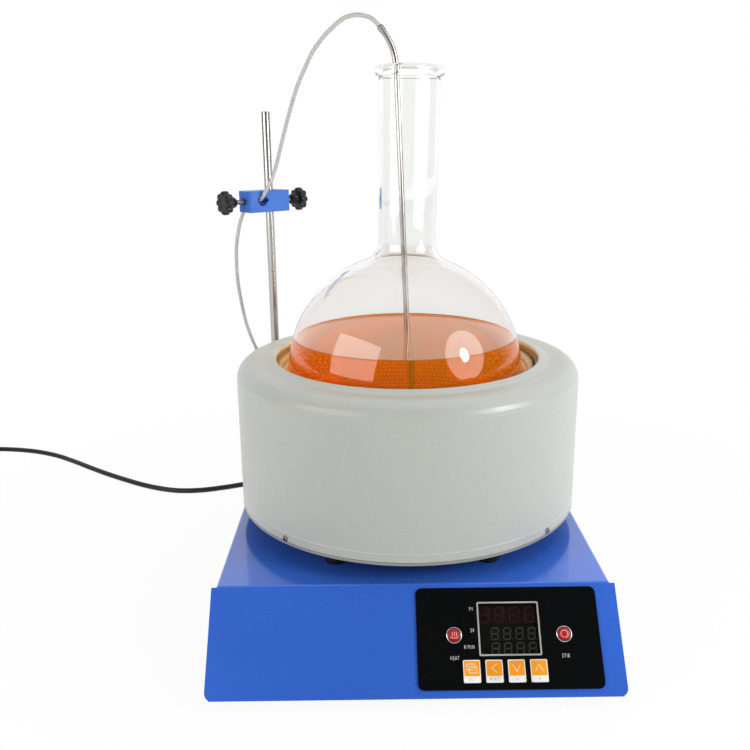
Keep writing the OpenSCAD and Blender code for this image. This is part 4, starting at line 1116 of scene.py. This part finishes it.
def star_knob(name, place, out, material):
    """Grip with eight lobes: the radius is the profile's plus a lobe
    depth times (half plus half of cos 8a) to the power 0.6."""
    grip = KNOB_R - KNOB_LOBE
    profile = np.vstack([
        [(0, 0)], rounded([(3.2, 0), (5.3, 2.9), (5.5, 9.8), (grip - 0.6, 9.9),
                           (grip, 11.2), (grip, 16.2), (grip - 1.2, 18.0),
                           (5.4, 18.0), (4.6, 17.3)],
                          [0.4, 1.0, 0.5, 0.6, 0.8, 1.2, 1.0, 0.4, 0.3], 4), [(0, 17.3)]])
    height = profile[:, 1]
    weight = np.where(
        (height > 9.85) & (profile[:, 0] > grip - 2.2), KNOB_LOBE,
        np.where((profile[:, 0] > 4.9) & (height < 9.85) & (height > 3.2), 0.7, 0.0))

    def lobes(angle, _):
        return weight[None, :] * (0.5 + 0.5 * np.cos(8 * angle)) ** 0.6

    return lathe(name, profile, place @ moved(0, 0, out), material, 96, lobes)


class MANTLE_OT_stand(bpy.types.Operator):
    """Rod, socket, boss head, thumb screws and star knobs"""

    bl_idname = "mantle.stand"
    bl_label = "Stand"

    def execute(self, context):
        paint = context.scene.mantle_paint
        dress(drawn_metal("rod_steel", srgb(196, 194, 190), 0.16), "support_rod", "rod_socket")
        dress(satin_paint(paint.clamp), "boss_head")
        dress(even_metal("thumb_screw_steel", srgb(150, 148, 146), 0.25, 1400),
              "clamp_screw_left", "clamp_screw_right")
        plastic = moulded("knob_plastic", srgb(24, 24, 25), 0.3, 900, 0.00003)
        for side, place, out in (("left", LEFT_SCREW, 9.6), ("right", RIGHT_SCREW, 6.3)):
            knob = star_knob(f"star_knob_{side}", place, out, plastic)
            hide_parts(f"clamp_knob_{side}")
            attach(knob, f"screw_{side}")
        return {"FINISHED"}


class MANTLE_OT_probe(bpy.types.Operator):
    """Bent steel probe with its crimped end"""

    bl_idname = "mantle.probe"
    bl_label = "Probe"

    def execute(self, context):
        mouth = moved(*PROBE_MOUTH) @ turned_about("Z", PROBE_TURN)
        mouth = mouth @ turned_about("Y", PROBE_LEAN)
        # Up the straight, then round the bend: an arc whose middle lies on
        # the frame's x axis at the bend's radius.
        rise = np.linspace(-PROBE_DEPTH, 0, 60)
        straight = np.column_stack([0 * rise, 0 * rise, rise])
        angle = np.radians(np.linspace(0, BEND, 16))[1:]
        bend = np.column_stack([BEND_R * (1 - np.cos(angle)), 0 * angle,
                                0.4 + BEND_R * np.sin(angle)])
        run = math.radians(BEND)
        tail = bend[-1] + np.outer([1.2, 2.4], (math.sin(run), 0, math.cos(run)))
        path = np.vstack([straight, bend, tail])
        path = path @ mouth[:3, :3].T + mouth[:3, 3]
        # The closed nose narrows over its first three stations.
        radius = np.concatenate([[1.6, 2.4], np.full(len(path) - 1, PROBE_R)])
        heading = unit(path[1] - path[0])
        nose = path[0] - heading * 2.4
        path = np.vstack([nose, nose + (path[1] - nose) * 0.05, path[1:]])
        probe = tube("probe_shaft", path, radius, hand_worn_steel(), 20, (0, 1, 0))
        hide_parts("probe_tube")
        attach(probe, "stand")
        dress(even_metal("ferrule_steel", srgb(176, 174, 170), 0.22), "probe_ferrule")
        return {"FINISHED"}


class MANTLE_OT_inside(bpy.types.Operator):
    """Motor, magnets, board and the other parts inside"""

    bl_idname = "mantle.inside"
    bl_label = "Inside parts"

    def execute(self, context):
        dress(drawn_metal("motor_can", srgb(168, 168, 170), 0.3), "stir_motor", "motor_shaft")
        dress(drawn_metal("bracket_zinc", srgb(176, 178, 180), 0.34,
                          (1, 0.02, 1), 900), "motor_bracket")
        dress(even_metal("hub_aluminium", srgb(200, 202, 204), 0.28, 1200), "magnet_hub")
        dress(moulded("magnet_ferrite", srgb(58, 56, 56), 0.5), "drive_magnets")
        dress(moulded("board_laminate", srgb(22, 82, 48), 0.38, 600), "control_board")
        dress(even_metal("standoff_brass", srgb(206, 170, 88), 0.25), "board_standoffs")
        dress(moulded("switch_plastic", srgb(34, 34, 36), 0.4), "key_switches")
        dress(moulded("bush_rubber", srgb(26, 26, 27), 0.6), "sleeve_bush")
        dress(woven_tape("sleeve_braid", srgb(226, 222, 210), 0.0012), "wire_sleeve")
        return {"FINISHED"}


def surroundings(context, look):
    """White behind the object and softer light towards the front, and an
    even fill for the rest of the light."""
    f = Finish("studio", "world")
    seen, glossy, clear = f.rays("Camera", "Glossy", "Transmission")
    mirror = glossy + clear
    across, depth, up = f.axes("Generated")
    front = f.between(depth + up * 0.8, 0.2, 0.75, 0.05, 1.0) + clear * 0.16
    side = f.between(across, -0.4, 0.7, 0.7, 1.6)
    above = f.between(up, 0.15, 1.0, 0.15, 2.4)
    around = side * above * f.between(depth, -0.6, 0.55, look.fill * 0.12, look.fill * 1.5)
    white, room, fill = (
        f.node("ShaderNodeBackground", {"Color": tint, "Strength": strength})
        for tint, strength in (((1, 1, 1), 1.0), ((1, 1, 1), front), ((0.96, 0.98, 1.0), around)))
    lit = f.layer(mirror, fill, room)
    context.scene.world = f.close(f.layer(seen, lit, white))


def bench_floor():
    """White bench top: part of its white is its own, so that it meets
    the background without a line and still takes a shadow."""
    f = Finish("white_bench")
    x, y, _ = f.axes()
    away = (x * x + y * y) ** 0.5
    seen, glossy, clear = f.rays("Camera", "Glossy", "Transmission")
    own = f.between(away, 0.26, 0.8, 0.94, 1.0) * (seen + glossy + clear)
    paper = f.node("ShaderNodeBsdfDiffuse", {"Color": (0.86, 0.86, 0.86)})
    glow = f.node("ShaderNodeEmission", {"Color": (1, 1, 1), "Strength": 1.0})
    f.close(f.layer(own, paper, glow))
    # Half of its width, in metres
    half = 6.0
    corners = [(-half, -half, 0), (half, -half, 0), (half, half, 0), (-half, half, 0)]
    mesh = bpy.data.meshes.new("bench_top")
    mesh.from_pydata(corners, [], [(0, 1, 2, 3)])
    mesh.materials.append(f.data)
    floor = new_object("bench_top", mesh)


def area_lamp(name, direction, distance, size, radiance, shape, colour):
    """Area lamp that faces the flask from a direction. Its power is its
    radiance times its area times pi."""
    light = bpy.data.lights.new(name, "AREA")
    light.shape = shape
    light.size, height = size
    light.color = colour
    area = size[0] * height
    if shape in ("RECTANGLE", "ELLIPSE"):
        light.size_y = height
    if shape in ("DISK", "ELLIPSE"):
        area *= math.pi / 4
    light.energy = radiance * area * math.pi
    lamp = new_object(name, light)
    direction = unit(np.array(direction))
    spot = np.array(BALL) * MM + direction * distance
    toward = Vector(direction).to_track_quat("Z", "Y").to_matrix().to_4x4()
    lamp.matrix_world = Matrix.Translation(spot.tolist()) @ toward


class MANTLE_OT_stage(bpy.types.Operator):
    """Floor, lamps and surroundings"""

    bl_idname = "mantle.stage"
    bl_label = "Stage"

    def execute(self, context):
        look = context.scene.mantle_stage
        context.scene.view_settings.view_transform = "Standard"
        surroundings(context, look)
        bench_floor()
        area_lamp("softbox", (-0.78, -0.60, 0.33), 1.25, (1.05, 0.75),
                  look.window, "RECTANGLE", (1.0, 0.965, 0.94))
        area_lamp("umbrella", (0.82, -0.48, 0.31), 1.3, (0.95, 0.95),
                  look.umbrella, "DISK", (1.0, 0.985, 0.97))
        area_lamp("umbrella_tube", (0.80, -0.50, 0.315), 1.2, (0.16, 0.24),
                  30.0, "ELLIPSE", (1.0, 1.0, 1.0))
        return {"FINISHED"}


class MANTLE_PT_panel(bpy.types.Panel):
    """Sidebar panel with the settings and the operators"""

    bl_idname = "MANTLE_PT_panel"
    bl_label = "Heating mantle"
    bl_space_type = "VIEW_3D"
    bl_region_type = "UI"
    bl_category = "Mantle"

    def draw(self, context):
        for group in GROUPS:
            box = self.layout.box()
            settings = getattr(context.scene, group)
            for name in settings.__annotations__:
                box.prop(settings, name)
        for piece in OPERATORS:
            self.layout.operator(piece.bl_idname)


GROUPS = {
    "mantle_paint": MantlePaint, "mantle_print": MantlePrint, "mantle_filling": MantleFilling,
    "mantle_stage": MantleStage}
OPERATORS = (
    MANTLE_OT_camera, MANTLE_OT_power_cord, MANTLE_OT_sensor_lead,
    MANTLE_OT_base, MANTLE_OT_panel, MANTLE_OT_drum, MANTLE_OT_bowl,
    MANTLE_OT_flask, MANTLE_OT_stand, MANTLE_OT_probe, MANTLE_OT_inside, MANTLE_OT_stage)


def register():
    """Registers the settings, operators and panel."""
    for kind in (*GROUPS.values(), *OPERATORS, MANTLE_PT_panel):
        bpy.utils.register_class(kind)
    for name, kind in GROUPS.items():
        setattr(bpy.types.Scene, name, PointerProperty(type=kind))


def unregister():
    """Takes out what register put in."""
    for name in GROUPS:
        delattr(bpy.types.Scene, name)
    for kind in reversed((*GROUPS.values(), *OPERATORS, MANTLE_PT_panel)):
        bpy.utils.unregister_class(kind)


def main():
    """Runs every operator in order."""
    register()
    for piece in OPERATORS:
        group, name = piece.bl_idname.split(".")
        getattr(getattr(bpy.ops, group), name)()


if __name__ == "__main__":
    main()
